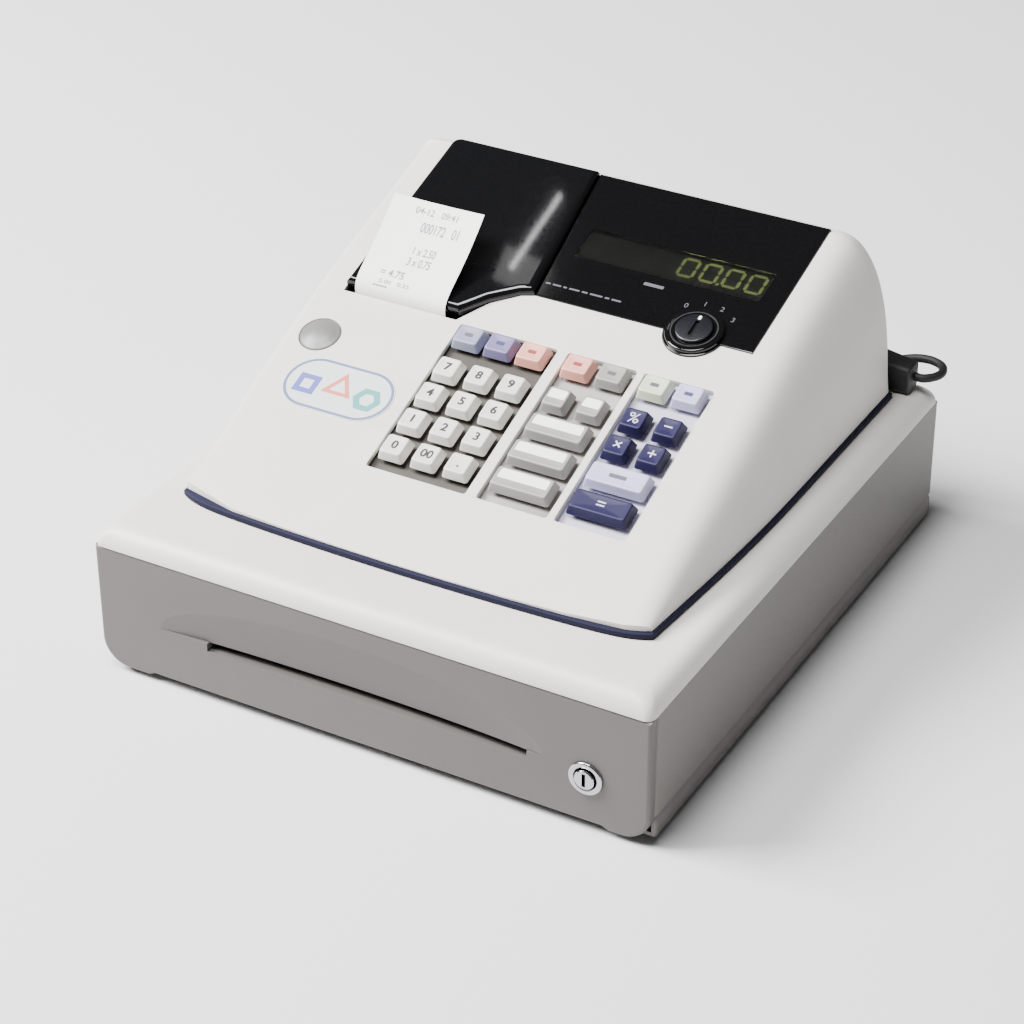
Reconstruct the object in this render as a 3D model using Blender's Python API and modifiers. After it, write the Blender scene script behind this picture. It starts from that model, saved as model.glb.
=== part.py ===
"""Ticket register: a compact electronic cash register on its cash drawer cabinet.

Everything is in metres, +Z up, +Y to the rear. The origin is at the bottom centre of the cabinet.
The keyboard deck and the display panel have frames of their own: along X, up the slope, and outwards.
"""
import math

import bmesh
import bpy
from mathutils import Matrix, Vector

# Overall sizes
BASE_WIDTH = 0.330
BASE_DEPTH = 0.358
FOOT_HEIGHT = 0.003
SEAM_HEIGHT = 0.077
COVER_HEIGHT = 0.0115
FIT_GAP = 0.0003
SEAM_GAP = 0.0010
CUT_OVERRUN = 0.010
ROUND_STEPS = 24
FLAT_ANGLE_DEG = 0.1

# Drawer cabinet
PAN_WALL = 0.0025
PAN_CORNER_RADIUS = 0.006
GROOVE_RISE = 0.0100
GROOVE_SLOPE = 0.0022
GROOVE_HEIGHT = 0.0032
GROOVE_DEPTH = 0.0010
COVER_WALL = 0.0025
COVER_CORNER_RADIUS = 0.005
COVER_TOP_CORNER_GROWTH = 0.004
SHOULDER_RADIUS = 0.011
SHOULDER_STEPS = 4
WORKS_HOLE_LEFT = -0.030
WORKS_HOLE_RIGHT = 0.112
WORKS_HOLE_FRONT = -0.095
WORKS_HOLE_REAR = 0.130
RAIL_HEIGHT = 0.003
RAIL_RISE = 0.023
RAIL_WIDTH = 0.011
RAIL_END_INSET = 0.006
FOOT_RADIUS = 0.009
FOOT_INSET_X = 0.026
FOOT_INSET_Y = 0.030
FOOT_RIM = 0.001

# Drawer
FRONT_THICKNESS = 0.0055
FRONT_CORNER_RADIUS = 0.016
FRONT_EDGE_BEVEL = 0.0015
FRONT_BOTTOM_RISE = 0.0018
FRONT_RISE_FROM_LEFT = 0.033
FRONT_RISE_FROM_RIGHT = 0.027
FRONT_RISE_SLOPE = 0.004
FRONT_BACK_DEPTH = 0.0050
FRONT_BACK_SIDE_INSET = 0.016
FRONT_BACK_TOP_INSET = 0.007
FRONT_ARC_STEPS = 6
SLOT_HALF = 0.096
SLOT_Z = 0.0365
SLOT_HEIGHT = 0.0046
SCOOP_X = -0.010
SCOOP_HALF = 0.132
SCOOP_RISE = 0.032
SCOOP_ROUND = 0.0085
SCOOP_DEPTH = 0.0034
LOCK_FROM_RIGHT = 0.0353
LOCK_Z = 0.0323
LOCK_FLANGE_RADIUS = 0.0095
LOCK_FLANGE_THICKNESS = 0.0016
LOCK_SLEEVE_RADIUS = 0.0082
LOCK_SLEEVE_LENGTH = 0.016
LOCK_BORE_RADIUS = 0.0064
LOCK_LIP = 0.0008
BARREL_RADIUS = 0.0060
BARREL_LENGTH = 0.0197
BARREL_PROUD = 0.0010
KEYWAY_WIDTH = 0.0016
KEYWAY_HEIGHT = 0.0072
KEYWAY_DEPTH = 0.006
CAM_LENGTH = 0.016
CAM_WIDTH = 0.007
CAM_THICKNESS = 0.002
TRAY_SIDE_GAP = 0.0015
TRAY_FLOOR_GAP = 0.0035
TRAY_TOP_GAP = 0.011
TRAY_REAR_GAP = 0.0165
TRAY_WALL = 0.0016
TRAY_FLANGE_THICKNESS = 0.0025
INSERT_WALL = 0.0024
INSERT_TOP_DROP = 0.008
INSERT_FRONT_INSET = 0.0078
COIN_COUNT = 5
COIN_ROW_DEPTH = 0.100
COIN_ROUND = 0.008
ROW_WALL = 0.0038
POCKET_STEPS = 3
BILL_COUNT = 3
POCKET_ROUND = 0.004
CLIP_PIN_RADIUS = 0.0028
CLIP_PIN_DROP = 0.0045
CLIP_PIN_FROM_REAR = 0.010
CLIP_ARM_LENGTH = 0.098
CLIP_ARM_WIDTH = 0.014
CLIP_ARM_THICKNESS = 0.0022
CLIP_DROP = 0.034
CLIP_PADDLE_LENGTH = 0.022
CLIP_PADDLE_WIDTH = 0.030
CLIP_SIDE_GAP = 0.003

# Upper case
CASE_WALL = 0.0026
TRIM_HEIGHT = 0.0036
TRIM_WIDTH = 0.0045
TRIM_PROUD = 0.0009
CASE_FRONT = -0.1395
CASE_REAR = 0.154
CASE_FRONT_BOW = 0.005
CASE_FRONT_CORNER = 0.006
CASE_REAR_CORNER = 0.006
CASE_CORNER_POWER = 14
CASE_HALF_FRONT = 0.139
CASE_HALF_MIDDLE = 0.1465
CASE_MIDDLE_Y = 0.020
CASE_LEFT_ROUND = 0.006
CASE_CHEEK_FRONT = 0.126
CASE_CHEEK_REAR = 0.112
CASE_CHEEK_POWER = 2.3
CASE_DECK_ROWS = 10
CASE_PANEL_ROWS = 4
CASE_LEFT_ROUND_STEPS = 3
CASE_TOP_STEPS = 8
CASE_CHEEK_STEPS = 7
FOOT_SIDE_STEPS = 14
FOOT_END_STEPS = 10
DECK_ORIGIN_Y = -0.135
DECK_ORIGIN_RISE = 0.0023
DECK_SLOPE_DEG = 20.0
PANEL_FOOT_Y = 0.043
PANEL_SLOPE_DEG = 17.5
PANEL_HEAD_Y = 0.136
RIDGE_RADIUS = 0.013
RIDGE_STEPS = 4
REAR_LEAN = 0.004

# Keyboard
KEY_PITCH = 0.0196
KEY_TRAVEL = 0.003
KEY_PROUD = 0.0045
KEY_CLEARANCE = 0.0006
KEY_SIZE = 0.0155
KEY_TAPER = 0.0014
KEY_CORNER = 0.0016
KEY_EDGE = 0.0009
KEY_DISH = 0.0006
STEM_SIZE = 0.0042
STEM_CORNER = 0.00084
STEM_LENGTH = 0.012
STEM_CLEARANCE = 0.0003
DECK_PLATE_THICKNESS = 0.0045
DECK_POCKET_DEPTH = 0.0014
DECK_MARGIN = 0.004
WELL_CORNER = 0.0015
NUMBER_COLUMN_X = -0.0410
TOTAL_FIELD_STEP = 0.0278
TOTAL_COLUMN_PITCH = 0.0205
FUNCTION_FIELD_STEP = 0.0255
FUNCTION_COLUMN_PITCH = 0.0200
FIRST_ROW_S = 0.0640
TOP_ROW_STEP = 0.0247
TOP_KEY_DEPTH = 0.0150
TOP_KEY_WIDTH = 0.0175
WELL_MARGIN = 0.0018
WELL_FRONT_MARGIN = 0.0070
FEED_X = -0.1240
FEED_S = 0.1243
FEED_RADIUS = 0.0118
FEED_HEIGHT = 0.0085
FEED_PROUD = 0.0026
FEED_TRAVEL = 0.0018
FEED_ROUND = 0.0012

# Display panel and mode switch
PANEL_RIGHT = 0.1100
PANEL_LEFT = -0.1280
PANEL_TOP_Y = 0.1385
PANEL_FRONT_Y = 0.0425
PANEL_RIGHT_FRONT_Y = 0.0412
PANEL_THICKNESS = 0.0032
PANEL_PROUD = 0.0006
DIVISION_TOP_X = -0.0330
DIVISION_FOOT_X = -0.0220
BOSS_X = 0.0740
BOSS_Y = 0.0450
BOSS_RADIUS = 0.0175
BOSS_HEIGHT = 0.0022
BOSS_SHOULDER = 0.0010
BOSS_STEPS = 14
PANEL_CORNER = 0.006
WINDOW_LEFT = -0.0160
WINDOW_RIGHT = 0.0970
WINDOW_FRONT_Y = 0.0760
WINDOW_REAR_Y = 0.0980
BOARD_MARGIN = 0.004
BOARD_THICKNESS = 0.0016
ROTOR_RADIUS = 0.0105
ROTOR_PROUD = 0.0016
ROTOR_STEM = 0.0060
ROTOR_SLOT_WIDTH = 0.0024
ROTOR_SLOT_DEPTH = 0.0016
ROTOR_CLEARANCE = 0.0004

# Printer
COVER_FRONT_Y = 0.0170
SLOT_WIDTH = 0.0036
HUMP_START_X = -0.0560
HUMP_MIDDLE_X = -0.0440
HUMP_MIDDLE_Y = 0.0300
HUMP_END_X = -0.0300
HUMP_END_Y = 0.0400
DOME_HEIGHT = 0.0045
DOME_SKIRT = 0.0015
DOME_ROUND = 0.0040
DOME_WALL = 0.0018
PAPER_WIDTH = 0.0580
PAPER_LEFT = -0.1215
PAPER_THICKNESS = 0.0004
ROLL_RADIUS = 0.0300
ROLL_Y = 0.0880
ROLL_RISE = 0.0425
SPINDLE_RADIUS = 0.0040
SPINDLE_OVERHANG = 0.0045
PLATEN_RADIUS = 0.0065
PLATEN_Y = 0.0270
PLATEN_RISE = 0.0485
PLATEN_SHAFT_RADIUS = 0.0030
FRAME_PLATE = 0.0020
FRAME_SIDE_GAP = 0.0012
FRAME_FRONT_Y = 0.0180
FRAME_REAR_Y = 0.1400
FRAME_SHOULDER_RISE = 0.0545
FRAME_FRONT_RISE = 0.0555
FRAME_FLOOR = 0.0022
RUNNING_GAP = 0.0003
RECEIPT_AHEAD = 0.0018
RECEIPT_LEAN = 0.0448
RECEIPT_PLATEN_GAP = 0.0020
RECEIPT_RISE = 0.0450
RECEIPT_STEPS = 3
RECEIPT_SHARES = (
    (0.0022, 0.0),
    (0.0, 0.10),
    (0.0112, 0.1889),
    (0.0737, 0.2778),
    (0.1964, 0.3711),
    (0.4196, 0.5222),
    (0.6429, 0.6889),
    (0.8661, 0.8778),
    (1.0, 1.0),
)

# Mains lead: diameter, outlet block, the coil on the floor and its plug
CORD_DIAMETER = 0.0050
GLAND_LEFT = 0.1180
GLAND_RIGHT = 0.1550
GLAND_BACK_ROOT = 0.0190
GLAND_BACK_TIP = 0.0150
GLAND_TOP_ROOT = 0.0200
GLAND_TOP_TIP = 0.0165
GLAND_CORNER = 0.0025
CORD_EXIT_Y = 0.1650
CORD_EXIT_RISE = 0.0085
COIL_X = 0.0550
COIL_Y = 0.2400
COIL_OUTER = 0.0400
COIL_PITCH = 0.0064
COIL_LAYER_STEP = 0.0058
COIL_LAYER_TURNS = 3.875
COIL_POINTS_PER_TURN = 24
FLOOR_CLEARANCE = 0.0001
PLUG_LENGTH = 0.034
PLUG_RADIUS = 0.0075
PLUG_NOSE_RADIUS = 0.0035
PLUG_FLANGE = 0.004
PLUG_PIN_LENGTH = 0.019
PLUG_PIN_RADIUS = 0.0020
PLUG_PIN_PITCH = 0.0090
CORD_ROUTE = (
    (0.1600, 0.1651, 0.0970),
    (0.1650, 0.1700, 0.0969),
    (0.1668, 0.1765, 0.0968),
    (0.1640, 0.1835, 0.0967),
    (0.1570, 0.1878, 0.0963),
    (0.1480, 0.1893, 0.0950),
    (0.1380, 0.1898, 0.0915),
    (0.1280, 0.1900, 0.0850),
    (0.1190, 0.1902, 0.0740),
    (0.1120, 0.1905, 0.0600),
    (0.1065, 0.1912, 0.0440),
    (0.1020, 0.1930, 0.0280),
    (0.0985, 0.1965, 0.0140),
    (0.0963, 0.2035, 0.0055),
    (0.0953, 0.2130, 0.0028),
    (0.0950, 0.2230, 0.0026),
)

# Derived places
BASE_FRONT = -BASE_DEPTH / 2
BASE_REAR = BASE_DEPTH / 2
BASE_HALF = BASE_WIDTH / 2
PAN_FRONT = BASE_FRONT + FRONT_THICKNESS + SEAM_GAP
LEDGE_HEIGHT = SEAM_HEIGHT + COVER_HEIGHT
TRIM_BOTTOM = LEDGE_HEIGHT + FIT_GAP
CASE_FOOT = TRIM_BOTTOM + TRIM_HEIGHT + FIT_GAP
DECK_ORIGIN_Z = CASE_FOOT + DECK_ORIGIN_RISE
RAIL_Z = FOOT_HEIGHT + RAIL_RISE
LOCK_X = BASE_HALF - LOCK_FROM_RIGHT
TRAY_HALF = BASE_HALF - PAN_WALL - RAIL_WIDTH - TRAY_SIDE_GAP
TRAY_BOTTOM = FOOT_HEIGHT + PAN_WALL + TRAY_FLOOR_GAP
TRAY_TOP = SEAM_HEIGHT - TRAY_TOP_GAP
TRAY_REAR = BASE_REAR - PAN_WALL - TRAY_REAR_GAP
INSERT_TOP = TRAY_TOP - INSERT_TOP_DROP
CLIP_PIN_Z = INSERT_TOP - CLIP_PIN_DROP
ROLL_Z = LEDGE_HEIGHT + ROLL_RISE
PLATEN_Z = LEDGE_HEIGHT + PLATEN_RISE
FRAME_SHOULDER_Z = LEDGE_HEIGHT + FRAME_SHOULDER_RISE
FRAME_FRONT_TOP_Z = LEDGE_HEIGHT + FRAME_FRONT_RISE
RECEIPT_FOOT_Y = COVER_FRONT_Y - RECEIPT_AHEAD
RECEIPT_FOOT_Z = PLATEN_Z + PLATEN_RADIUS + RECEIPT_PLATEN_GAP
CORD_EXIT_Z = LEDGE_HEIGHT + CORD_EXIT_RISE
DECK_SLOPE = math.radians(DECK_SLOPE_DEG)
PANEL_SLOPE = math.radians(PANEL_SLOPE_DEG)
PANEL_FOOT_Z = DECK_ORIGIN_Z + (PANEL_FOOT_Y - DECK_ORIGIN_Y) * math.tan(DECK_SLOPE)
DECK_FRAME = Matrix.Translation((0.0, DECK_ORIGIN_Y, DECK_ORIGIN_Z)) @ Matrix.Rotation(DECK_SLOPE, 4, "X")
PANEL_FRAME = Matrix.Translation((0.0, PANEL_FOOT_Y, PANEL_FOOT_Z)) @ Matrix.Rotation(PANEL_SLOPE, 4, "X")
TOTAL_COLUMN_X = NUMBER_COLUMN_X + KEY_PITCH * 2 + TOTAL_FIELD_STEP
FUNCTION_COLUMN_X = TOTAL_COLUMN_X + TOTAL_COLUMN_PITCH + FUNCTION_FIELD_STEP
TOP_ROW_S = FIRST_ROW_S + KEY_PITCH * 3 + TOP_ROW_STEP
DECK_TOP = -CASE_WALL - FIT_GAP
WELL_FLOOR = DECK_TOP - DECK_POCKET_DEPTH
KEY_UNDERSIDE = WELL_FLOOR + KEY_TRAVEL + STEM_CLEARANCE
TRAY_FRONT = BASE_FRONT + FRONT_THICKNESS + FRONT_BACK_DEPTH + FIT_GAP


def clear_scene():
    """Remove what the scene holds."""
    for item in list(bpy.data.objects):
        bpy.data.objects.remove(item, do_unlink=True)


def new_collection(name):
    """Make a collection in the scene."""
    group = bpy.data.collections.new(name)
    bpy.context.scene.collection.children.link(group)
    return group


clear_scene()
PARTS = new_collection("ticket_register")
CUTTERS = new_collection("cutters")


def material(name, colour, roughness, metallic=0.0):
    """Make a Principled material."""
    finish = bpy.data.materials.new(name)
    finish.use_nodes = True
    shader = finish.node_tree.nodes["Principled BSDF"]
    shader.inputs["Base Color"].default_value = (*colour, 1.0)
    shader.inputs["Roughness"].default_value = roughness
    shader.inputs["Metallic"].default_value = metallic
    return finish


CREAM = material("cream_plastic", (0.80, 0.78, 0.74), 0.45)
GREY = material("grey_plastic", (0.30, 0.29, 0.28), 0.50)
DARK_GREY = material("dark_grey_steel", (0.16, 0.16, 0.155), 0.45, 0.3)
BLUE_TRIM = material("blue_trim", (0.07, 0.08, 0.18), 0.40)
BLACK_GLOSS = material("black_gloss", (0.008, 0.008, 0.010), 0.12)
BLACK_MATT = material("black_plastic", (0.02, 0.02, 0.022), 0.45)
CHROME = material("chrome", (0.75, 0.75, 0.76), 0.12, 1.0)
STEEL = material("galvanised_steel", (0.50, 0.50, 0.50), 0.38, 1.0)
RUBBER = material("rubber", (0.03, 0.03, 0.03), 0.80)
PAPER = material("thermal_paper", (0.85, 0.85, 0.83), 0.70)
DECK_GREY = material("deck_grey", (0.42, 0.41, 0.39), 0.50)
BOARD_GREEN = material("display_board", (0.02, 0.03, 0.02), 0.30)
KEY_WHITE = material("key_white", (0.78, 0.77, 0.73), 0.40)
KEY_GREY = material("key_grey", (0.45, 0.45, 0.46), 0.40)
KEY_BLUE = material("key_dark_blue", (0.035, 0.045, 0.18), 0.35)
KEY_LAVENDER = material("key_lavender", (0.50, 0.52, 0.66), 0.40)
KEY_MAUVE = material("key_mauve", (0.42, 0.38, 0.55), 0.40)
KEY_CORAL = material("key_coral", (0.72, 0.45, 0.38), 0.40)
KEY_GREEN = material("key_pale_green", (0.62, 0.66, 0.52), 0.40)


def finish_object(item, finish, smooth_angle=math.radians(35)):
    """Give an object its one material and smooth shading between sharp edges."""
    item.data.materials.clear()
    item.data.materials.append(finish)
    item.data.shade_smooth()
    item.data.set_sharp_from_angle(angle=smooth_angle)
    return item


def add_part(name, mesh, finish, place=None):
    """Link a mesh as a named part."""
    item = bpy.data.objects.new(name, mesh)
    PARTS.objects.link(item)
    if place is not None:
        item.matrix_world = place
    return finish_object(item, finish)


def mesh_from(shape, name):
    """Turn a bmesh into a mesh with its faces pointing out."""
    bmesh.ops.recalc_face_normals(shape, faces=shape.faces[:])
    mesh = bpy.data.meshes.new(name)
    shape.to_mesh(mesh)
    shape.free()
    return mesh


def box_mesh(low, high, name="box"):
    """A box between two corners."""
    shape = bmesh.new()
    bmesh.ops.create_cube(shape, size=1.0)
    size = Vector(high) - Vector(low)
    middle = (Vector(high) + Vector(low)) / 2
    bmesh.ops.scale(shape, vec=size, verts=shape.verts[:])
    bmesh.ops.translate(shape, vec=middle, verts=shape.verts[:])
    return mesh_from(shape, name)


def cylinder_mesh(radius, length, axis, start, sides=ROUND_STEPS, name="cylinder"):
    """A cylinder from a start point along an axis."""
    shape = bmesh.new()
    bmesh.ops.create_cone(shape, cap_ends=True, segments=sides, radius1=radius, radius2=radius, depth=length)
    direction = Vector(axis).normalized()
    turn = Vector((0.0, 0.0, 1.0)).rotation_difference(direction).to_matrix().to_4x4()
    place = Matrix.Translation(Vector(start) + direction * length / 2) @ turn
    bmesh.ops.transform(shape, matrix=place, verts=shape.verts[:])
    return mesh_from(shape, name)


def plate_mesh(points, bottom, top, name="plate"):
    """A flat outline in X and Y, as a filled 2D curve, thickened between two heights."""
    curve = bpy.data.curves.new(name, "CURVE")
    curve.dimensions = "2D"
    curve.fill_mode = "BOTH"
    curve.extrude = (top - bottom) / 2
    spline = curve.splines.new("POLY")
    spline.points.add(len(points) - 1)
    for point, (x, y) in zip(spline.points, points):
        point.co = (x, y, 0.0, 1.0)
    spline.use_cyclic_u = True
    item = bpy.data.objects.new(name, curve)
    CUTTERS.objects.link(item)
    graph = bpy.context.evaluated_depsgraph_get()
    raw = bpy.data.meshes.new_from_object(item.evaluated_get(graph))
    shape = bmesh.new()
    shape.from_mesh(raw)
    bmesh.ops.remove_doubles(shape, verts=shape.verts[:], dist=FIT_GAP / 10)
    bmesh.ops.translate(shape, vec=(0.0, 0.0, (top + bottom) / 2), verts=shape.verts[:])
    flat = math.radians(FLAT_ANGLE_DEG)
    bmesh.ops.dissolve_limit(shape, angle_limit=flat, verts=shape.verts[:], edges=shape.edges[:])
    bpy.data.objects.remove(item, do_unlink=True)
    return mesh_from(shape, name)


def loft_mesh(sections, name="loft"):
    """A closed skin over sections that have the same number of points, capped at both ends."""
    shape = bmesh.new()
    rings = [[shape.verts.new(point) for point in section] for section in sections]
    count = len(rings[0])
    for lower, upper in zip(rings, rings[1:]):
        for index in range(count):
            after = (index + 1) % count
            shape.faces.new((lower[index], lower[after], upper[after], upper[index]))
    shape.faces.new(list(reversed(rings[0])))
    shape.faces.new(rings[-1])
    return mesh_from(shape, name)


def arc(centre_x, centre_y, radius, start_deg, end_deg, steps):
    """Points of an arc in a plane."""
    points = []
    for step in range(steps + 1):
        angle = math.radians(start_deg + (end_deg - start_deg) * step / steps)
        points.append((centre_x + radius * math.cos(angle), centre_y + radius * math.sin(angle)))
    return points


def rounded_rectangle(low_x, low_y, high_x, high_y, radius, steps=2):
    """A rectangle with round corners, anticlockwise from its lower right corner."""
    points = arc(high_x - radius, low_y + radius, radius, -90, 0, steps)
    points += arc(high_x - radius, high_y - radius, radius, 0, 90, steps)
    points += arc(low_x + radius, high_y - radius, radius, 90, 180, steps)
    points += arc(low_x + radius, low_y + radius, radius, 180, 270, steps)
    return points


def cut(target, mesh, place=None, operation="DIFFERENCE"):
    """Cut a mesh out of a part, or join it on, with an exact Boolean."""
    cutter = bpy.data.objects.new(target.name + "_cutter", mesh)
    CUTTERS.objects.link(cutter)
    if place is not None:
        cutter.matrix_world = place
    cutter.hide_render = True
    cutter.display_type = "WIRE"
    step = target.modifiers.new("cut", "BOOLEAN")
    step.operation = operation
    step.solver = "EXACT"
    step.object = cutter
    return step


def join(target, mesh, place=None):
    """Join a mesh onto a part."""
    return cut(target, mesh, place, "UNION")


def bevel(target, width, segments=2, angle_deg=40):
    """Round a part's edges."""
    step = target.modifiers.new("edges", "BEVEL")
    step.width = width
    step.segments = segments
    step.limit_method = "ANGLE"
    step.angle_limit = math.radians(angle_deg)
    return step


def turned_mesh(profile, name, axis, start, steps=ROUND_STEPS):
    """A turned piece: a profile of (radius, height) pairs round an axis, closed at the centre."""
    mesh = bpy.data.meshes.new(name)
    mesh.from_pydata([(radius, 0.0, height) for radius, height in profile], [], [])
    mesh.edges.add(len(profile) - 1)
    for index, edge in enumerate(mesh.edges):
        edge.vertices = (index, index + 1)
    item = bpy.data.objects.new(name, mesh)
    CUTTERS.objects.link(item)
    turn = item.modifiers.new("turn", "SCREW")
    turn.steps = steps
    turn.render_steps = steps
    turn.use_merge_vertices = True
    turn.merge_threshold = FIT_GAP / 10
    graph = bpy.context.evaluated_depsgraph_get()
    raw = bpy.data.meshes.new_from_object(item.evaluated_get(graph))
    bpy.data.objects.remove(item, do_unlink=True)
    shape = bmesh.new()
    shape.from_mesh(raw)
    bmesh.ops.remove_doubles(shape, verts=shape.verts[:], dist=FIT_GAP / 10)
    direction = Vector(axis).normalized()
    aim = Vector((0.0, 0.0, 1.0)).rotation_difference(direction).to_matrix().to_4x4()
    bmesh.ops.transform(shape, matrix=Matrix.Translation(start) @ aim, verts=shape.verts[:])
    return mesh_from(shape, name)


def set_origin(item, point):
    """Put an object's origin on its joint axis and leave its shape where it is."""
    shift = Matrix.Translation(-Vector(point))
    item.data.transform(shift)
    item.matrix_world = Matrix.Translation(point)
    return item


# Drawer cabinet
def shoulder_section(inset, height, front, rear, half):
    """One level of the cabinet's cream cover."""
    radius = COVER_CORNER_RADIUS + COVER_TOP_CORNER_GROWTH * inset / SHOULDER_RADIUS
    outline = rounded_rectangle(-half + inset, front + inset, half - inset, rear - inset, radius)
    return [(x, y, height) for x, y in outline]


def cover_levels(wall):
    """Levels of the cover's outer skin, or of its hollow where wall is its thickness."""
    radius = SHOULDER_RADIUS - wall
    top = LEDGE_HEIGHT - wall
    foot = SEAM_HEIGHT + FIT_GAP
    if wall > 0.0:
        foot = foot - CUT_OVERRUN
    levels = [(wall, foot)]
    for step in range(SHOULDER_STEPS + 1):
        angle = math.radians(90) * step / SHOULDER_STEPS
        levels.append((wall + radius * (1 - math.cos(angle)), top - radius * (1 - math.sin(angle))))
    return levels


def build_top_cover():
    """Cream cover with round shoulders, hollow below, and a hole for the works under the upper case."""
    outer = [shoulder_section(inset, z, BASE_FRONT, BASE_REAR, BASE_HALF) for inset, z in cover_levels(0.0)]
    cover = add_part("base_top_cover", loft_mesh(outer, "base_top_cover"), CREAM)
    inner = [shoulder_section(inset, z, BASE_FRONT, BASE_REAR, BASE_HALF) for inset, z in cover_levels(COVER_WALL)]
    cut(cover, loft_mesh(inner, "cover_hollow"))
    low = (WORKS_HOLE_LEFT, WORKS_HOLE_FRONT, SEAM_HEIGHT)
    high = (WORKS_HOLE_RIGHT, WORKS_HOLE_REAR, LEDGE_HEIGHT + CUT_OVERRUN)
    cut(cover, box_mesh(low, high))
    return cover


def pan_levels():
    """Inset and height of each level of the housing: a groove runs round it near the foot."""
    groove = FOOT_HEIGHT + GROOVE_RISE
    return (
        (0.0, FOOT_HEIGHT),
        (0.0, groove),
        (GROOVE_DEPTH, groove + GROOVE_SLOPE),
        (0.0, groove + GROOVE_HEIGHT),
        (0.0, SEAM_HEIGHT),
    )


def pan_section(inset, height):
    """One level of the grey housing; its flat front edge stays where it is."""
    half = BASE_HALF - inset
    outline = rounded_rectangle(-half, PAN_FRONT, half, BASE_REAR - inset, PAN_CORNER_RADIUS)
    return [(x, y, height) for x, y in outline]


def build_pan():
    """Grey housing: floor, side walls and rear wall, open to the front, with the drawer's rails."""
    shell = loft_mesh([pan_section(inset, z) for inset, z in pan_levels()], "base_pan")
    pan = add_part("base_pan", shell, GREY)
    low = (-BASE_HALF + PAN_WALL, PAN_FRONT - CUT_OVERRUN, FOOT_HEIGHT + PAN_WALL)
    high = (BASE_HALF - PAN_WALL, BASE_REAR - PAN_WALL, SEAM_HEIGHT + CUT_OVERRUN)
    cut(pan, box_mesh(low, high))
    wall = BASE_HALF - PAN_WALL
    for side in (-1, 1):
        edge = sorted((side * (wall + FIT_GAP), side * (wall - RAIL_WIDTH)))
        low = (edge[0], PAN_FRONT + RAIL_END_INSET, RAIL_Z)
        high = (edge[1], BASE_REAR - PAN_WALL - RAIL_END_INSET, RAIL_Z + RAIL_HEIGHT)
        join(pan, box_mesh(low, high))
    return pan


def build_feet():
    """Four rubber feet under the corners."""
    number = 0
    for side_x in (-1, 1):
        for side_y in (-1, 1):
            number += 1
            x = side_x * (BASE_HALF - FOOT_INSET_X)
            y = side_y * (BASE_REAR - FOOT_INSET_Y)
            height = FOOT_HEIGHT - FIT_GAP
            rim = FOOT_RADIUS - FOOT_RIM
            profile = [(0.0, height), (FOOT_RADIUS, height), (FOOT_RADIUS, FOOT_RIM), (rim, 0.0), (0.0, 0.0)]
            mesh = turned_mesh(profile, "foot", (0, 0, 1), (x, y, 0.0))
            add_part("foot_%d" % number, mesh, RUBBER)


# Drawer
def front_outline():
    """Outline of the drawer front in X and Z, with large lower corners and a lower edge that steps up."""
    half = BASE_HALF
    low = FOOT_HEIGHT
    radius = FRONT_CORNER_RADIUS
    raised = low + FRONT_BOTTOM_RISE
    left = -half + FRONT_RISE_FROM_LEFT
    right = half - FRONT_RISE_FROM_RIGHT
    points = [(right + FRONT_RISE_SLOPE, low)]
    points += arc(half - radius, low + radius, radius, -90, 0, FRONT_ARC_STEPS)
    points += [(half, SEAM_HEIGHT), (-half, SEAM_HEIGHT)]
    points += arc(-half + radius, low + radius, radius, 180, 270, FRONT_ARC_STEPS)
    points += [(left - FRONT_RISE_SLOPE, low), (left, raised), (right, raised)]
    return points


def scoop_mesh():
    """Upper half of a flattened ball: the shallow scoop above the media slot."""
    shape = bmesh.new()
    bmesh.ops.create_uvsphere(shape, u_segments=32, v_segments=12, radius=1.0)
    bmesh.ops.scale(shape, vec=(SCOOP_HALF, SCOOP_ROUND, SCOOP_RISE), verts=shape.verts[:])
    everything = shape.verts[:] + shape.edges[:] + shape.faces[:]
    bmesh.ops.bisect_plane(shape, geom=everything, plane_co=(0, 0, 0), plane_no=(0, 0, 1), clear_inner=True)
    bmesh.ops.holes_fill(shape, edges=shape.edges[:], sides=0)
    offset = (SCOOP_X, BASE_FRONT - SCOOP_ROUND + SCOOP_DEPTH, SLOT_Z)
    bmesh.ops.translate(shape, vec=offset, verts=shape.verts[:])
    return mesh_from(shape, "scoop")


def build_drawer_front():
    """Moulded drawer front with a scoop, the media slot and the hole for the lock."""
    upright = Matrix.Rotation(math.pi / 2, 4, "X")
    upright = Matrix.Translation((0.0, BASE_FRONT + FRONT_THICKNESS, 0.0)) @ upright
    plate = plate_mesh(front_outline(), 0.0, FRONT_THICKNESS, "drawer_front")
    plate.transform(upright)
    front = add_part("drawer_front", plate, GREY)
    bevel(front, FRONT_EDGE_BEVEL)
    side = BASE_HALF - FRONT_BACK_SIDE_INSET
    low = (-side, BASE_FRONT + FRONT_THICKNESS - FRONT_EDGE_BEVEL, TRAY_BOTTOM)
    high = (side, BASE_FRONT + FRONT_THICKNESS + FRONT_BACK_DEPTH, SEAM_HEIGHT - FRONT_BACK_TOP_INSET)
    join(front, box_mesh(low, high))
    cut(front, scoop_mesh())
    low = (-SLOT_HALF, BASE_FRONT - CUT_OVERRUN, SLOT_Z - SLOT_HEIGHT)
    high = (SLOT_HALF, BASE_FRONT + FRONT_THICKNESS + FRONT_BACK_DEPTH + CUT_OVERRUN, SLOT_Z)
    cut(front, box_mesh(low, high))
    depth = FRONT_THICKNESS + FRONT_BACK_DEPTH + CUT_OVERRUN * 2
    start = (LOCK_X, BASE_FRONT - CUT_OVERRUN, LOCK_Z)
    cut(front, cylinder_mesh(LOCK_SLEEVE_RADIUS + FIT_GAP, depth, (0, 1, 0), start, 32))
    return front


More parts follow.
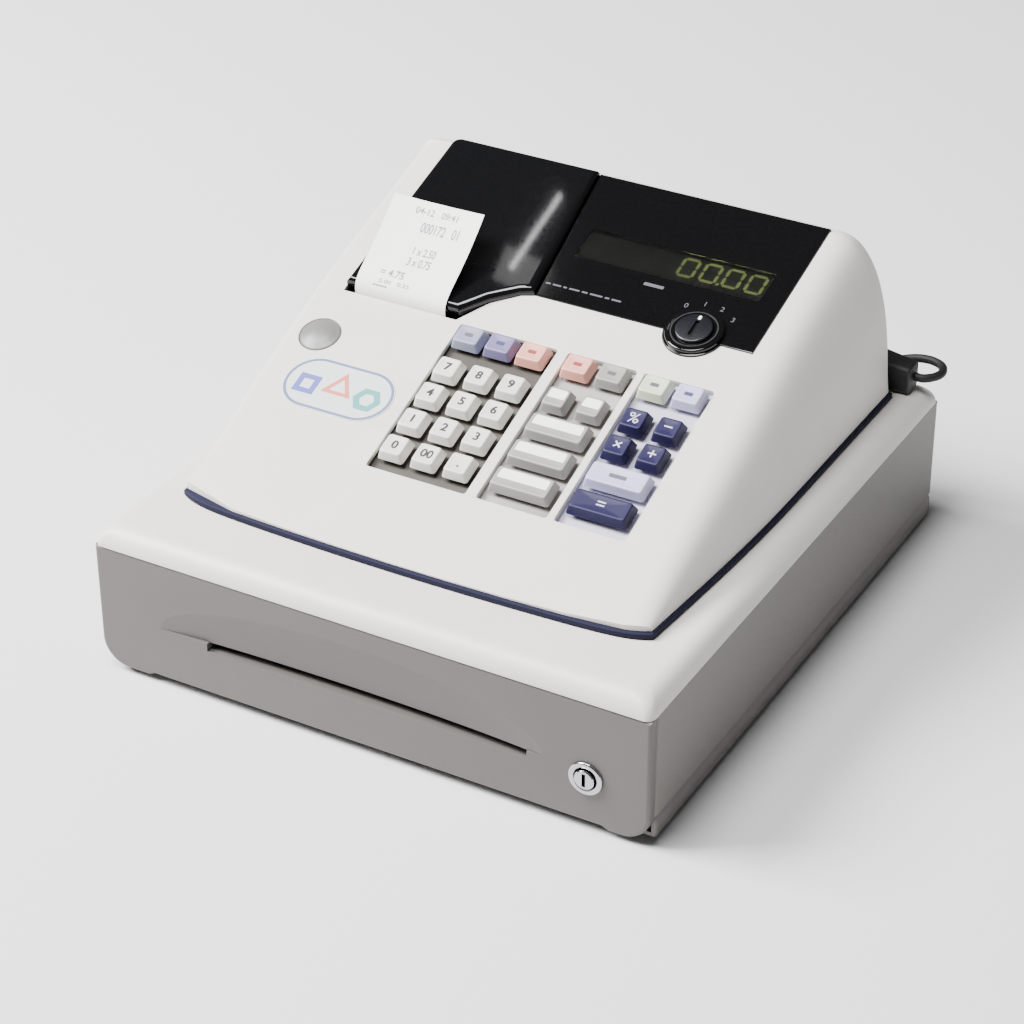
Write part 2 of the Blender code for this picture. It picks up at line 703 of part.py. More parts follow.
def build_lock():
    """Chrome lock: a flanged sleeve in the front and a barrel that turns in it."""
    face = LOCK_FLANGE_THICKNESS + FIT_GAP
    bore = LOCK_BORE_RADIUS
    length = LOCK_SLEEVE_LENGTH
    profile = [(bore, face), (LOCK_FLANGE_RADIUS - LOCK_LIP, face), (LOCK_FLANGE_RADIUS, face - LOCK_LIP)]
    profile += [(LOCK_FLANGE_RADIUS, FIT_GAP), (LOCK_SLEEVE_RADIUS, FIT_GAP)]
    profile += [(LOCK_SLEEVE_RADIUS, -length), (bore, -length), (bore, face)]
    place = (LOCK_X, BASE_FRONT, LOCK_Z)
    add_part("lock_bezel", turned_mesh(profile, "lock_bezel", (0, -1, 0), place, 32), CHROME)
    start = (LOCK_X, BASE_FRONT - face - BARREL_PROUD, LOCK_Z)
    barrel = add_part("lock_barrel", cylinder_mesh(BARREL_RADIUS, BARREL_LENGTH, (0, 1, 0), start), CHROME)
    set_origin(barrel, (LOCK_X, BASE_FRONT, LOCK_Z))
    front = BASE_FRONT - face - BARREL_PROUD
    low = (LOCK_X - KEYWAY_WIDTH / 2, front - CUT_OVERRUN, LOCK_Z - KEYWAY_HEIGHT / 2)
    high = (LOCK_X + KEYWAY_WIDTH / 2, front + KEYWAY_DEPTH, LOCK_Z + KEYWAY_HEIGHT / 2)
    cut(barrel, box_mesh(low, high))
    back = front + BARREL_LENGTH
    low = (LOCK_X - CAM_WIDTH / 2, back - FIT_GAP, LOCK_Z - BARREL_RADIUS / 2)
    high = (LOCK_X + CAM_WIDTH / 2, back + CAM_THICKNESS, LOCK_Z + CAM_LENGTH)
    join(barrel, box_mesh(low, high))


def build_tray():
    """Steel drawer tray with flanges that run on the rails, cut in front behind the media slot."""
    low = (-TRAY_HALF, TRAY_FRONT, TRAY_BOTTOM)
    high = (TRAY_HALF, TRAY_REAR, TRAY_TOP)
    tray = add_part("drawer_tray", box_mesh(low, high), STEEL)
    low = (-TRAY_HALF + TRAY_WALL, TRAY_FRONT + TRAY_WALL, TRAY_BOTTOM + TRAY_WALL)
    high = (TRAY_HALF - TRAY_WALL, TRAY_REAR - TRAY_WALL, TRAY_TOP + CUT_OVERRUN)
    cut(tray, box_mesh(low, high))
    low = (-SLOT_HALF, TRAY_FRONT - CUT_OVERRUN, SLOT_Z - SLOT_HEIGHT)
    high = (SLOT_HALF, TRAY_FRONT + CUT_OVERRUN, SLOT_Z)
    cut(tray, box_mesh(low, high))
    flange_low = RAIL_Z + RAIL_HEIGHT + FIT_GAP
    edge = BASE_HALF - PAN_WALL - SEAM_GAP
    for side in (-1, 1):
        reach = sorted((side * (TRAY_HALF - TRAY_WALL / 2), side * edge))
        low = (reach[0], PAN_FRONT + RAIL_END_INSET, flange_low)
        high = (reach[1], TRAY_REAR, flange_low + TRAY_FLANGE_THICKNESS)
        join(tray, box_mesh(low, high))
    start = (LOCK_X, TRAY_FRONT - CUT_OVERRUN, LOCK_Z)
    cut(tray, cylinder_mesh(CAM_LENGTH + SEAM_GAP, CUT_OVERRUN + TRAY_WALL * 2, (0, 1, 0), start, 32))
    return tray


def insert_limits():
    """Lower and upper corners of the till insert."""
    side = TRAY_HALF - TRAY_WALL - FIT_GAP * 2
    front = TRAY_FRONT + TRAY_WALL + INSERT_FRONT_INSET
    rear = TRAY_REAR - TRAY_WALL - FIT_GAP * 2
    floor = TRAY_BOTTOM + TRAY_WALL + FIT_GAP
    return (-side, front, floor), (side, rear, INSERT_TOP)


def pocket_mesh(low_x, high_x, front, rear, floor, radius):
    """A pocket with rounded lower edges, as a row of rounded sections up its depth."""
    sections = []
    for step in range(POCKET_STEPS + 1):
        angle = math.radians(90) * step / POCKET_STEPS
        inset = radius * (1 - math.sin(angle))
        height = floor + radius * (1 - math.cos(angle))
        outline = rounded_rectangle(low_x + inset, front + inset, high_x - inset, rear - inset, POCKET_ROUND, 1)
        sections.append([(x, y, height) for x, y in outline])
    top = INSERT_TOP + CUT_OVERRUN
    outline = rounded_rectangle(low_x, front, high_x, rear, POCKET_ROUND, 1)
    sections.append([(x, y, top) for x, y in outline])
    return loft_mesh(sections, "pocket")


def bill_row():
    """Front and rear of the note bays: they take the room behind the coin cups."""
    low, high = insert_limits()
    return low[1] + INSERT_WALL + COIN_ROW_DEPTH + ROW_WALL, high[1] - INSERT_WALL


def bay_limits(count, number):
    """Left and right of one of several equal bays across the insert."""
    low, high = insert_limits()
    width = (high[0] - low[0] - INSERT_WALL * (count + 1)) / count
    left = low[0] + INSERT_WALL + number * (width + INSERT_WALL)
    return left, left + width


def build_insert():
    """Till insert: five coin cups with rounded floors before three note bays, cleared behind the lock."""
    low, high = insert_limits()
    insert = add_part("till_insert", box_mesh(low, high), BLACK_MATT)
    front = low[1] + INSERT_WALL
    floor = low[2] + INSERT_WALL
    for number in range(COIN_COUNT):
        left, right = bay_limits(COIN_COUNT, number)
        cut(insert, pocket_mesh(left, right, front, front + COIN_ROW_DEPTH, floor, COIN_ROUND))
    bill_front, bill_rear = bill_row()
    for number in range(BILL_COUNT):
        left, right = bay_limits(BILL_COUNT, number)
        cut(insert, pocket_mesh(left, right, bill_front, bill_rear, floor, POCKET_ROUND))
    return insert


def build_clips():
    """Spring clips that hold the notes down: a pin barrel, an arm and a paddle in one piece."""
    bill_front, bill_rear = bill_row()
    pin_y = bill_rear - CLIP_PIN_FROM_REAR
    slope = math.asin(CLIP_DROP / CLIP_ARM_LENGTH)
    for number in range(BILL_COUNT):
        left, right = bay_limits(BILL_COUNT, number)
        middle = (left + right) / 2
        length = right - left - FIT_GAP * 2
        start = (left + FIT_GAP, pin_y, CLIP_PIN_Z)
        barrel = cylinder_mesh(CLIP_PIN_RADIUS, length, (1, 0, 0), start, 12)
        clip = add_part("bill_clip_%d" % (number + 1), barrel, BLACK_MATT)
        set_origin(clip, (middle, pin_y, CLIP_PIN_Z))
        place = Matrix.Translation((middle, pin_y, CLIP_PIN_Z)) @ Matrix.Rotation(slope, 4, "X")
        half = CLIP_ARM_WIDTH / 2
        under = -CLIP_ARM_THICKNESS / 2
        arm = box_mesh((-half, -CLIP_ARM_LENGTH, under), (half, 0.0, -under))
        join(clip, arm, place)
        half = CLIP_PADDLE_WIDTH / 2
        near = -CLIP_ARM_LENGTH + CLIP_PADDLE_LENGTH / 2
        outline = rounded_rectangle(-half, near - CLIP_PADDLE_LENGTH, half, near, CLIP_PADDLE_LENGTH / 3)
        join(clip, plate_mesh(outline, under - FIT_GAP, -under + FIT_GAP), place)


# Upper case
def case_half(y):
    """Half width of the case's foot: it widens from the front to the middle."""
    share = min(max((y - CASE_FRONT) / (CASE_MIDDLE_Y - CASE_FRONT), 0.0), 1.0)
    swell = math.sin(share * math.pi / 2)
    return CASE_HALF_FRONT + (CASE_HALF_MIDDLE - CASE_HALF_FRONT) * swell


def case_front_y(x):
    """Front of the foot at a given X: a bow with tight round corners."""
    share = min(abs(x) / CASE_HALF_FRONT, 1.0)
    return CASE_FRONT + CASE_FRONT_BOW * share ** 2 + CASE_FRONT_CORNER * share ** CASE_CORNER_POWER


def case_rear_y(x):
    """Rear of the case at a given X: straight with round corners."""
    share = min(abs(x) / CASE_HALF_MIDDLE, 1.0)
    return CASE_REAR - CASE_REAR_CORNER * share ** CASE_CORNER_POWER


def place_y(row_y, x, wall=0.0):
    """Y of a point whose row lies at row_y on the centre line."""
    front = case_front_y(x) + wall
    rear = case_rear_y(x) - wall
    return front + (row_y - CASE_FRONT) * (rear - front) / (CASE_REAR - CASE_FRONT)


def slope_height(y):
    """Height of the deck or of the panel behind it."""
    if y <= PANEL_FOOT_Y:
        return DECK_ORIGIN_Z + (y - DECK_ORIGIN_Y) * math.tan(DECK_SLOPE)
    return PANEL_FOOT_Z + (y - PANEL_FOOT_Y) * math.tan(PANEL_SLOPE)


def case_rows():
    """Rows of the case from front to rear: Y on the centre line, and the height off the slope."""
    deck_step = (PANEL_FOOT_Y - CASE_FRONT) / CASE_DECK_ROWS
    rows = [(CASE_FRONT + deck_step * step, None) for step in range(CASE_DECK_ROWS + 1)]
    panel_step = (PANEL_HEAD_Y - PANEL_FOOT_Y) / CASE_PANEL_ROWS
    rows += [(PANEL_FOOT_Y + panel_step * step, None) for step in range(1, CASE_PANEL_ROWS + 1)]
    head = slope_height(PANEL_HEAD_Y)
    reach = CASE_REAR - REAR_LEAN - PANEL_HEAD_Y
    for step in range(1, RIDGE_STEPS + 1):
        angle = PANEL_SLOPE + (math.pi / 2 - PANEL_SLOPE) * step / RIDGE_STEPS
        rise = math.sin(angle) - math.sin(PANEL_SLOPE)
        fall = math.cos(PANEL_SLOPE) - math.cos(angle)
        span = 1 - math.sin(PANEL_SLOPE)
        height = head + RIDGE_RADIUS * (math.tan(PANEL_SLOPE) * rise - fall)
        rows.append((PANEL_HEAD_Y + reach * rise / span, height))
    return rows


def case_columns():
    """Columns across the case: zone, and the share along that zone."""
    columns = [("left", 0.0), ("left", 0.5)]
    columns += [("left_round", step / CASE_LEFT_ROUND_STEPS) for step in range(CASE_LEFT_ROUND_STEPS + 1)]
    columns += [("top", step / CASE_TOP_STEPS) for step in range(1, CASE_TOP_STEPS)]
    columns += [("cheek", step / CASE_CHEEK_STEPS) for step in range(CASE_CHEEK_STEPS + 1)]
    return columns


def case_point(row, column, foot, wall):
    """One point of the case's outer skin, or of its hollow where wall is its thickness."""
    row_y, row_z = row
    zone, share = column
    half = case_half(row_y) - wall
    along = min(max((row_y - CASE_FRONT) / (PANEL_HEAD_Y - CASE_FRONT), 0.0), 1.0)
    cheek = CASE_CHEEK_FRONT + (CASE_CHEEK_REAR - CASE_CHEEK_FRONT) * along - wall
    lower = wall / math.cos(DECK_SLOPE)
    centre_z = (slope_height(row_y) if row_z is None else row_z) - lower
    room = max(centre_z - foot, 0.0)
    radius = min(CASE_LEFT_ROUND, room / 2)
    angle = share * math.pi / 2
    power = 2 / CASE_CHEEK_POWER
    if zone == "left":
        x = -half
        drop = room - (room - radius) * share
    elif zone == "left_round":
        x = -half + radius * (1 - math.cos(angle))
        drop = radius * (1 - math.sin(angle))
    elif zone == "top":
        x = -half + radius + (cheek + half - radius) * share
        drop = 0.0
    else:
        x = cheek + (half - cheek) * math.sin(angle) ** power
        drop = room * (1 - max(math.cos(angle), 0.0) ** power)
    y = place_y(row_y, x, wall)
    if row_z is None:
        height = slope_height(y) - lower
        scale = max(height - foot, 0.0) / room
        return (x, y, height - drop * scale)
    return (x, y, centre_z - drop)


def case_solid(foot, wall, name):
    """The case's outer form, or its hollow: a loft of rows that is closed flat at the foot."""
    shape = bmesh.new()
    columns = case_columns()
    rows = case_rows()
    front = [case_point(rows[0], column, foot, wall) for column in columns]
    grid = [[shape.verts.new((x, y, foot)) for x, y, z in front]]
    for row in rows:
        grid.append([shape.verts.new(case_point(row, column, foot, wall)) for column in columns])
    ridge = [case_point((CASE_REAR, rows[-1][1]), column, foot, wall) for column in columns]
    grid.append([shape.verts.new((x, y, foot)) for x, y, z in ridge])
    for lower, upper in zip(grid, grid[1:]):
        for index in range(len(columns) - 1):
            shape.faces.new((lower[index], lower[index + 1], upper[index + 1], upper[index]))
    bmesh.ops.remove_doubles(shape, verts=shape.verts[:], dist=FIT_GAP / 10)
    bmesh.ops.dissolve_degenerate(shape, edges=shape.edges[:], dist=FIT_GAP / 10)
    bmesh.ops.holes_fill(shape, edges=shape.edges[:], sides=0)
    return mesh_from(shape, name)


def foot_outline(grow):
    """Plan outline of the case's foot, grown outwards."""
    right = []
    left = []
    for step in range(FOOT_SIDE_STEPS + 1):
        row_y = CASE_FRONT + (CASE_REAR - CASE_FRONT) * step / FOOT_SIDE_STEPS
        half = case_half(row_y)
        right.append((half, place_y(row_y, half)))
        left.append((-half, place_y(row_y, half)))
    front = []
    rear = []
    for step in range(1 - FOOT_END_STEPS, FOOT_END_STEPS):
        turn = math.sin(step / FOOT_END_STEPS * math.pi / 2)
        front.append((CASE_HALF_FRONT * turn, case_front_y(CASE_HALF_FRONT * turn)))
        rear.append((CASE_HALF_MIDDLE * turn, case_rear_y(CASE_HALF_MIDDLE * turn)))
    outline = front + right + list(reversed(rear)) + list(reversed(left))
    middle = (CASE_FRONT + CASE_REAR) / 2
    stretch_x = (CASE_HALF_MIDDLE + grow) / CASE_HALF_MIDDLE
    stretch_y = ((CASE_REAR - CASE_FRONT) / 2 + grow) / ((CASE_REAR - CASE_FRONT) / 2)
    return [(x * stretch_x, middle + (y - middle) * stretch_y) for x, y in outline]


def build_trim():
    """Slate blue frame between the cabinet's top and the foot of the upper case."""
    outline = foot_outline(TRIM_PROUD)
    strip = plate_mesh(outline, TRIM_BOTTOM, TRIM_BOTTOM + TRIM_HEIGHT, "trim_line")
    trim = add_part("trim_line", strip, BLUE_TRIM)
    inner = foot_outline(TRIM_PROUD - TRIM_WIDTH)
    cut(trim, plate_mesh(inner, TRIM_BOTTOM - CUT_OVERRUN, CASE_FOOT + CUT_OVERRUN))
    return trim


def panel_up(y):
    """Distance up the panel's slope of a point at Y."""
    return (y - PANEL_FOOT_Y) / math.cos(PANEL_SLOPE)


def boss_arc():
    """Round boss of the mode switch that hangs below the panel's front edge."""
    centre = panel_up(BOSS_Y)
    left = math.degrees(math.asin((centre - panel_up(PANEL_FRONT_Y)) / BOSS_RADIUS))
    right = math.degrees(math.asin((centre - panel_up(PANEL_RIGHT_FRONT_Y)) / BOSS_RADIUS))
    return arc(BOSS_X, centre, BOSS_RADIUS, 180 + left, 360 - right, BOSS_STEPS)


def panel_opening():
    """Outline of the black area in the panel's own frame: (X, distance up the slope)."""
    head = panel_up(PANEL_TOP_Y)
    front = panel_up(COVER_FRONT_Y)
    corner = PANEL_CORNER
    points = [(PANEL_RIGHT, panel_up(PANEL_RIGHT_FRONT_Y)), (PANEL_RIGHT, head)]
    points += arc(PANEL_LEFT + corner, head - corner, corner, 90, 180, 3)
    points += [(PANEL_LEFT, front), (HUMP_START_X, front)]
    points += [(HUMP_MIDDLE_X, panel_up(HUMP_MIDDLE_Y)), (HUMP_END_X, panel_up(HUMP_END_Y))]
    points += [(DIVISION_FOOT_X, panel_up(PANEL_FRONT_Y))]
    return points + boss_arc()


def grow_outline(outline, grow):
    """Move each side of an anticlockwise outline outwards by the same distance."""
    grown = []
    count = len(outline)
    for index in range(count):
        before = Vector(outline[index - 1])
        here = Vector(outline[index])
        after = Vector(outline[(index + 1) % count])
        first = (here - before).normalized()
        second = (after - here).normalized()
        normal = Vector((first.y, -first.x)) + Vector((second.y, -second.x))
        normal.normalize()
        stretch = max(normal.dot(Vector((first.y, -first.x))), 0.5)
        moved = here + normal * grow / stretch
        grown.append((moved.x, moved.y))
    return grown


def wells():
    """Key wells in the deck's frame: (left, front, right, rear)."""
    front = FIRST_ROW_S - KEY_SIZE / 2 - WELL_FRONT_MARGIN
    rear = TOP_ROW_S + TOP_KEY_DEPTH / 2 + WELL_MARGIN
    number_right = NUMBER_COLUMN_X + KEY_PITCH * 2
    total_right = TOTAL_COLUMN_X + TOTAL_COLUMN_PITCH
    function_right = FUNCTION_COLUMN_X + FUNCTION_COLUMN_PITCH
    side = TOP_KEY_WIDTH / 2 + WELL_MARGIN
    return (
        (NUMBER_COLUMN_X - side, front, number_right + side, rear),
        (TOTAL_COLUMN_X - side, front, total_right + side, rear),
        (FUNCTION_COLUMN_X - side, front, function_right + side, rear),
    )


def build_case():
    """Cream upper case with the key wells, the feed key's hole and the opening for panel and printer."""
    case = add_part("upper_case", case_solid(CASE_FOOT, 0.0, "upper_case"), CREAM)
    cut(case, case_solid(CASE_FOOT - CUT_OVERRUN, CASE_WALL, "case_hollow"))
    for left, front, right, rear in wells():
        outline = rounded_rectangle(left, front, right, rear, WELL_CORNER)
        cut(case, plate_mesh(outline, -CUT_OVERRUN, CUT_OVERRUN), DECK_FRAME)
    start = (FEED_X, FEED_S, -CUT_OVERRUN)
    cut(case, cylinder_mesh(FEED_RADIUS + STEM_CLEARANCE, CUT_OVERRUN * 2, (0, 0, 1), start, 32), DECK_FRAME)
    front = panel_up(COVER_FRONT_Y)
    slot = [(x, s - SLOT_WIDTH if abs(s - front) < FIT_GAP else s) for x, s in panel_opening()]
    cut(case, plate_mesh(grow_outline(slot, FIT_GAP), -CUT_OVERRUN, CUT_OVERRUN * 2), PANEL_FRAME)
    return case


# Keyboard
def key_section(half_x, half_y, height, corner, middle):
    """One level of a key, in its own frame."""
    outline = rounded_rectangle(-half_x, -half_y, half_x, half_y, corner, 1)
    return [(middle[0] + x, middle[1] + y, height) for x, y in outline]


def key_mesh(width, depth, name):
    """A key: a square stem, a cap with tapered sides, a soft edge and a slight dish."""
    stem = STEM_SIZE / 2
    low = KEY_UNDERSIDE
    middle = (0.0, 0.0)
    half_x = width / 2
    half_y = depth / 2
    top_x = half_x - KEY_TAPER
    top_y = half_y - KEY_TAPER
    sections = [key_section(stem, stem, low - STEM_LENGTH, STEM_CORNER, middle)]
    sections.append(key_section(stem, stem, low, STEM_CORNER, middle))
    sections.append(key_section(half_x, half_y, low, KEY_CORNER, middle))
    sections.append(key_section(top_x, top_y, KEY_PROUD - KEY_EDGE, KEY_CORNER, middle))
    sections.append(key_section(top_x - KEY_EDGE, top_y - KEY_EDGE, KEY_PROUD, KEY_CORNER, middle))
    sections.append(key_section(top_x / 2, top_y / 2, KEY_PROUD - KEY_DISH, KEY_CORNER, middle))
    return loft_mesh(sections, name)


def key_layout():
    """Every deck key: name, X, distance up the slope, width, depth, material."""
    rows = [FIRST_ROW_S + KEY_PITCH * row for row in range(4)]
    keys = []
    names = (
        ("zero", "double_zero", "point"),
        ("one", "two", "three"),
        ("four", "five", "six"),
        ("seven", "eight", "nine"),
    )
    for row, labels in enumerate(names):
        for column, label in enumerate(labels):
            x = NUMBER_COLUMN_X + KEY_PITCH * column
            keys.append(("key_%s" % label, x, rows[row], KEY_SIZE, KEY_SIZE, KEY_WHITE))
    middle = TOTAL_COLUMN_X + TOTAL_COLUMN_PITCH / 2
    wide = TOTAL_COLUMN_PITCH + KEY_SIZE
    for row in range(3):
        keys.append(("key_department_%d" % (row + 1), middle, rows[row], wide, KEY_SIZE, KEY_WHITE))
    for column in range(2):
        x = TOTAL_COLUMN_X + TOTAL_COLUMN_PITCH * column
        keys.append(("key_department_%d" % (column + 4), x, rows[3], KEY_SIZE, KEY_SIZE, KEY_WHITE))
    middle = FUNCTION_COLUMN_X + FUNCTION_COLUMN_PITCH / 2
    wide = FUNCTION_COLUMN_PITCH + KEY_SIZE
    keys.append(("key_cash_tender", middle, rows[0], wide, KEY_SIZE, KEY_BLUE))
    keys.append(("key_subtotal", middle, rows[1], wide, KEY_SIZE, KEY_LAVENDER))
    for number in range(4):
        x = FUNCTION_COLUMN_X + FUNCTION_COLUMN_PITCH * (number % 2)
        keys.append(("key_function_%d" % (number + 1), x, rows[2 + number // 2], KEY_SIZE, KEY_SIZE, KEY_BLUE))
    colours = (KEY_LAVENDER, KEY_MAUVE, KEY_CORAL, KEY_CORAL, KEY_GREY, KEY_GREEN, KEY_LAVENDER)
    columns = [NUMBER_COLUMN_X + KEY_PITCH * column for column in range(3)]
    columns += [TOTAL_COLUMN_X + TOTAL_COLUMN_PITCH * column for column in range(2)]
    columns += [FUNCTION_COLUMN_X + FUNCTION_COLUMN_PITCH * column for column in range(2)]
    for number, (x, colour) in enumerate(zip(columns, colours)):
        keys.append(("key_top_%d" % (number + 1), x, TOP_ROW_S, TOP_KEY_WIDTH, TOP_KEY_DEPTH, colour))
    return keys


def build_keys():
    """The thirty keys on the deck and the round feed key."""
    for name, x, s, width, depth, colour in key_layout():
        place = DECK_FRAME @ Matrix.Translation((x, s, 0.0))
        add_part(name, key_mesh(width, depth, name), colour, place)
    rim = FEED_RADIUS - FEED_ROUND
    low = FEED_PROUD - FEED_HEIGHT
    profile = [(0.0, FEED_PROUD), (rim, FEED_PROUD), (FEED_RADIUS, FEED_PROUD - FEED_ROUND)]
    profile += [(FEED_RADIUS, low), (0.0, low)]
    mesh = turned_mesh(profile, "key_feed", (0, 0, 1), (0.0, 0.0, 0.0))
    add_part("key_feed", mesh, KEY_GREY, DECK_FRAME @ Matrix.Translation((FEED_X, FEED_S, 0.0)))


def build_deck():
    """Grey plate under the case: pockets form the floors of the wells, holes guide the stems."""
    fields = wells()
    low = (fields[0][0] - DECK_MARGIN, fields[0][1] - DECK_MARGIN, DECK_TOP - DECK_PLATE_THICKNESS)
    high = (fields[2][2] + DECK_MARGIN, fields[0][3] + DECK_MARGIN, DECK_TOP)
    deck = add_part("key_deck", box_mesh(low, high), DECK_GREY, DECK_FRAME)
    for left, front, right, rear in fields:
        outline = rounded_rectangle(left, front, right, rear, WELL_CORNER)
        cut(deck, plate_mesh(outline, WELL_FLOOR, CUT_OVERRUN), DECK_FRAME)
    hole = STEM_SIZE / 2 + STEM_CLEARANCE
    for name, x, s, width, depth, colour in key_layout():
        low = (x - hole, s - hole, DECK_TOP - DECK_PLATE_THICKNESS - CUT_OVERRUN)
        high = (x + hole, s + hole, CUT_OVERRUN)
        cut(deck, box_mesh(low, high), DECK_FRAME)
    return deck


# Display panel and mode switch
def display_outline():
    """Right part of the black area: the display panel with the boss of the mode switch."""
    head = panel_up(PANEL_TOP_Y)
    points = [(PANEL_RIGHT, panel_up(PANEL_RIGHT_FRONT_Y)), (PANEL_RIGHT, head)]
    points += [(DIVISION_TOP_X, head), (DIVISION_FOOT_X, panel_up(PANEL_FRONT_Y))]
    return points + boss_arc()


def build_display():
    """Black display panel with a window, the board behind it and the mode switch in its boss."""
    outline = display_outline()
    bottom = PANEL_PROUD - PANEL_THICKNESS
    plate = plate_mesh(outline, bottom, PANEL_PROUD, "display_panel")
    panel = add_part("display_panel", plate, BLACK_GLOSS, PANEL_FRAME)
    boss_s = panel_up(BOSS_Y)
    start = (BOSS_X, boss_s, PANEL_PROUD - PANEL_THICKNESS / 2)
    boss = cylinder_mesh(BOSS_RADIUS - BOSS_SHOULDER, PANEL_THICKNESS / 2 + BOSS_HEIGHT, (0, 0, 1), start, 32)
    join(panel, boss, PANEL_FRAME)
    start = (BOSS_X, boss_s, -CUT_OVERRUN)
    cut(panel, cylinder_mesh(ROTOR_RADIUS + ROTOR_CLEARANCE, CUT_OVERRUN * 2, (0, 0, 1), start, 32), PANEL_FRAME)
    front = panel_up(WINDOW_FRONT_Y)
    rear = panel_up(WINDOW_REAR_Y)
    window = rounded_rectangle(WINDOW_LEFT, front, WINDOW_RIGHT, rear, WELL_CORNER)
    cut(panel, plate_mesh(window, -CUT_OVERRUN, CUT_OVERRUN), PANEL_FRAME)
    low = (WINDOW_LEFT - BOARD_MARGIN, front - BOARD_MARGIN, bottom - FIT_GAP - BOARD_THICKNESS)
    high = (WINDOW_RIGHT + BOARD_MARGIN, rear + BOARD_MARGIN, bottom - FIT_GAP)
    add_part("display_board", box_mesh(low, high), BOARD_GREEN, PANEL_FRAME)
    top = PANEL_PROUD + BOSS_HEIGHT + ROTOR_PROUD
    length = ROTOR_PROUD + BOSS_HEIGHT + ROTOR_STEM
    place = PANEL_FRAME @ Matrix.Translation((BOSS_X, boss_s, 0.0))
    knob = cylinder_mesh(ROTOR_RADIUS, length, (0, 0, 1), (0, 0, top - length), 32)
    rotor = add_part("mode_rotor", knob, BLACK_MATT, place)
    half = ROTOR_SLOT_WIDTH / 2
    low = (-half, -ROTOR_RADIUS / 2, top - ROTOR_SLOT_DEPTH)
    high = (half, ROTOR_RADIUS + CUT_OVERRUN, top + CUT_OVERRUN)
    cut(rotor, box_mesh(low, high), place)


# Printer
def cover_outline():
    """Left part of the black area: the printer cover, with the hump of the case at its front corner."""
    front = panel_up(COVER_FRONT_Y)
    head = panel_up(PANEL_TOP_Y)
    gap = SEAM_GAP / 2
    corner = PANEL_CORNER
    points = [(HUMP_START_X, front), (HUMP_MIDDLE_X, panel_up(HUMP_MIDDLE_Y)), (HUMP_END_X, panel_up(HUMP_END_Y))]
    points += [(DIVISION_FOOT_X - gap, panel_up(PANEL_FRONT_Y)), (DIVISION_TOP_X - gap, head)]
    points += arc(PANEL_LEFT + corner, head - corner, corner, 90, 180, 3)
    points += [(PANEL_LEFT, front)]
    return points


def hinge_place():
    """Axis of the printer cover, in the panel's frame: the centre of its round rear edge."""
    return panel_up(PANEL_TOP_Y) - DOME_ROUND, DOME_HEIGHT - DOME_ROUND


def build_printer_cover():
    """Glossy black printer cover: a shallow dome with round edges, hollow below, hinged at its rear."""
    axis_s, axis_n = hinge_place()
    place = PANEL_FRAME @ Matrix.Translation((0.0, axis_s, axis_n))
    back = Matrix.Translation((0.0, -axis_s, -axis_n))
    shape = bmesh.new()
    shape.from_mesh(plate_mesh(cover_outline(), -DOME_SKIRT, DOME_HEIGHT))
    top = [edge for edge in shape.edges if min(vert.co.z for vert in edge.verts) > DOME_HEIGHT - FIT_GAP]
    rim = [edge for edge in top if any(abs(face.normal.z) < 0.5 for face in edge.link_faces)]
    bmesh.ops.bevel(shape, geom=rim, offset=DOME_ROUND, segments=3, affect="EDGES", profile=0.5)
    mesh = mesh_from(shape, "printer_cover")
    mesh.transform(back)
    cover = add_part("printer_cover", mesh, BLACK_GLOSS, place)
    inner = grow_outline(cover_outline(), -DOME_ROUND + FIT_GAP)
    cut(cover, plate_mesh(inner, -CUT_OVERRUN, DOME_HEIGHT - DOME_WALL), PANEL_FRAME)
    return cover


def frame_plate_outline():
    """Side plate of the printer frame in Y and Z, with a notch for the paper spindle."""
    base = LEDGE_HEIGHT + FIT_GAP
    notch = SPINDLE_RADIUS + RUNNING_GAP
    points = [(FRAME_FRONT_Y, base), (FRAME_REAR_Y, base), (FRAME_REAR_Y, FRAME_SHOULDER_Z)]
    points += [(ROLL_Y + notch, FRAME_SHOULDER_Z)]
    points += arc(ROLL_Y, ROLL_Z, notch, 0, -180, 6)
    points += [(ROLL_Y - notch, FRAME_SHOULDER_Z), (FRAME_FRONT_Y, FRAME_FRONT_TOP_Z)]
    return points


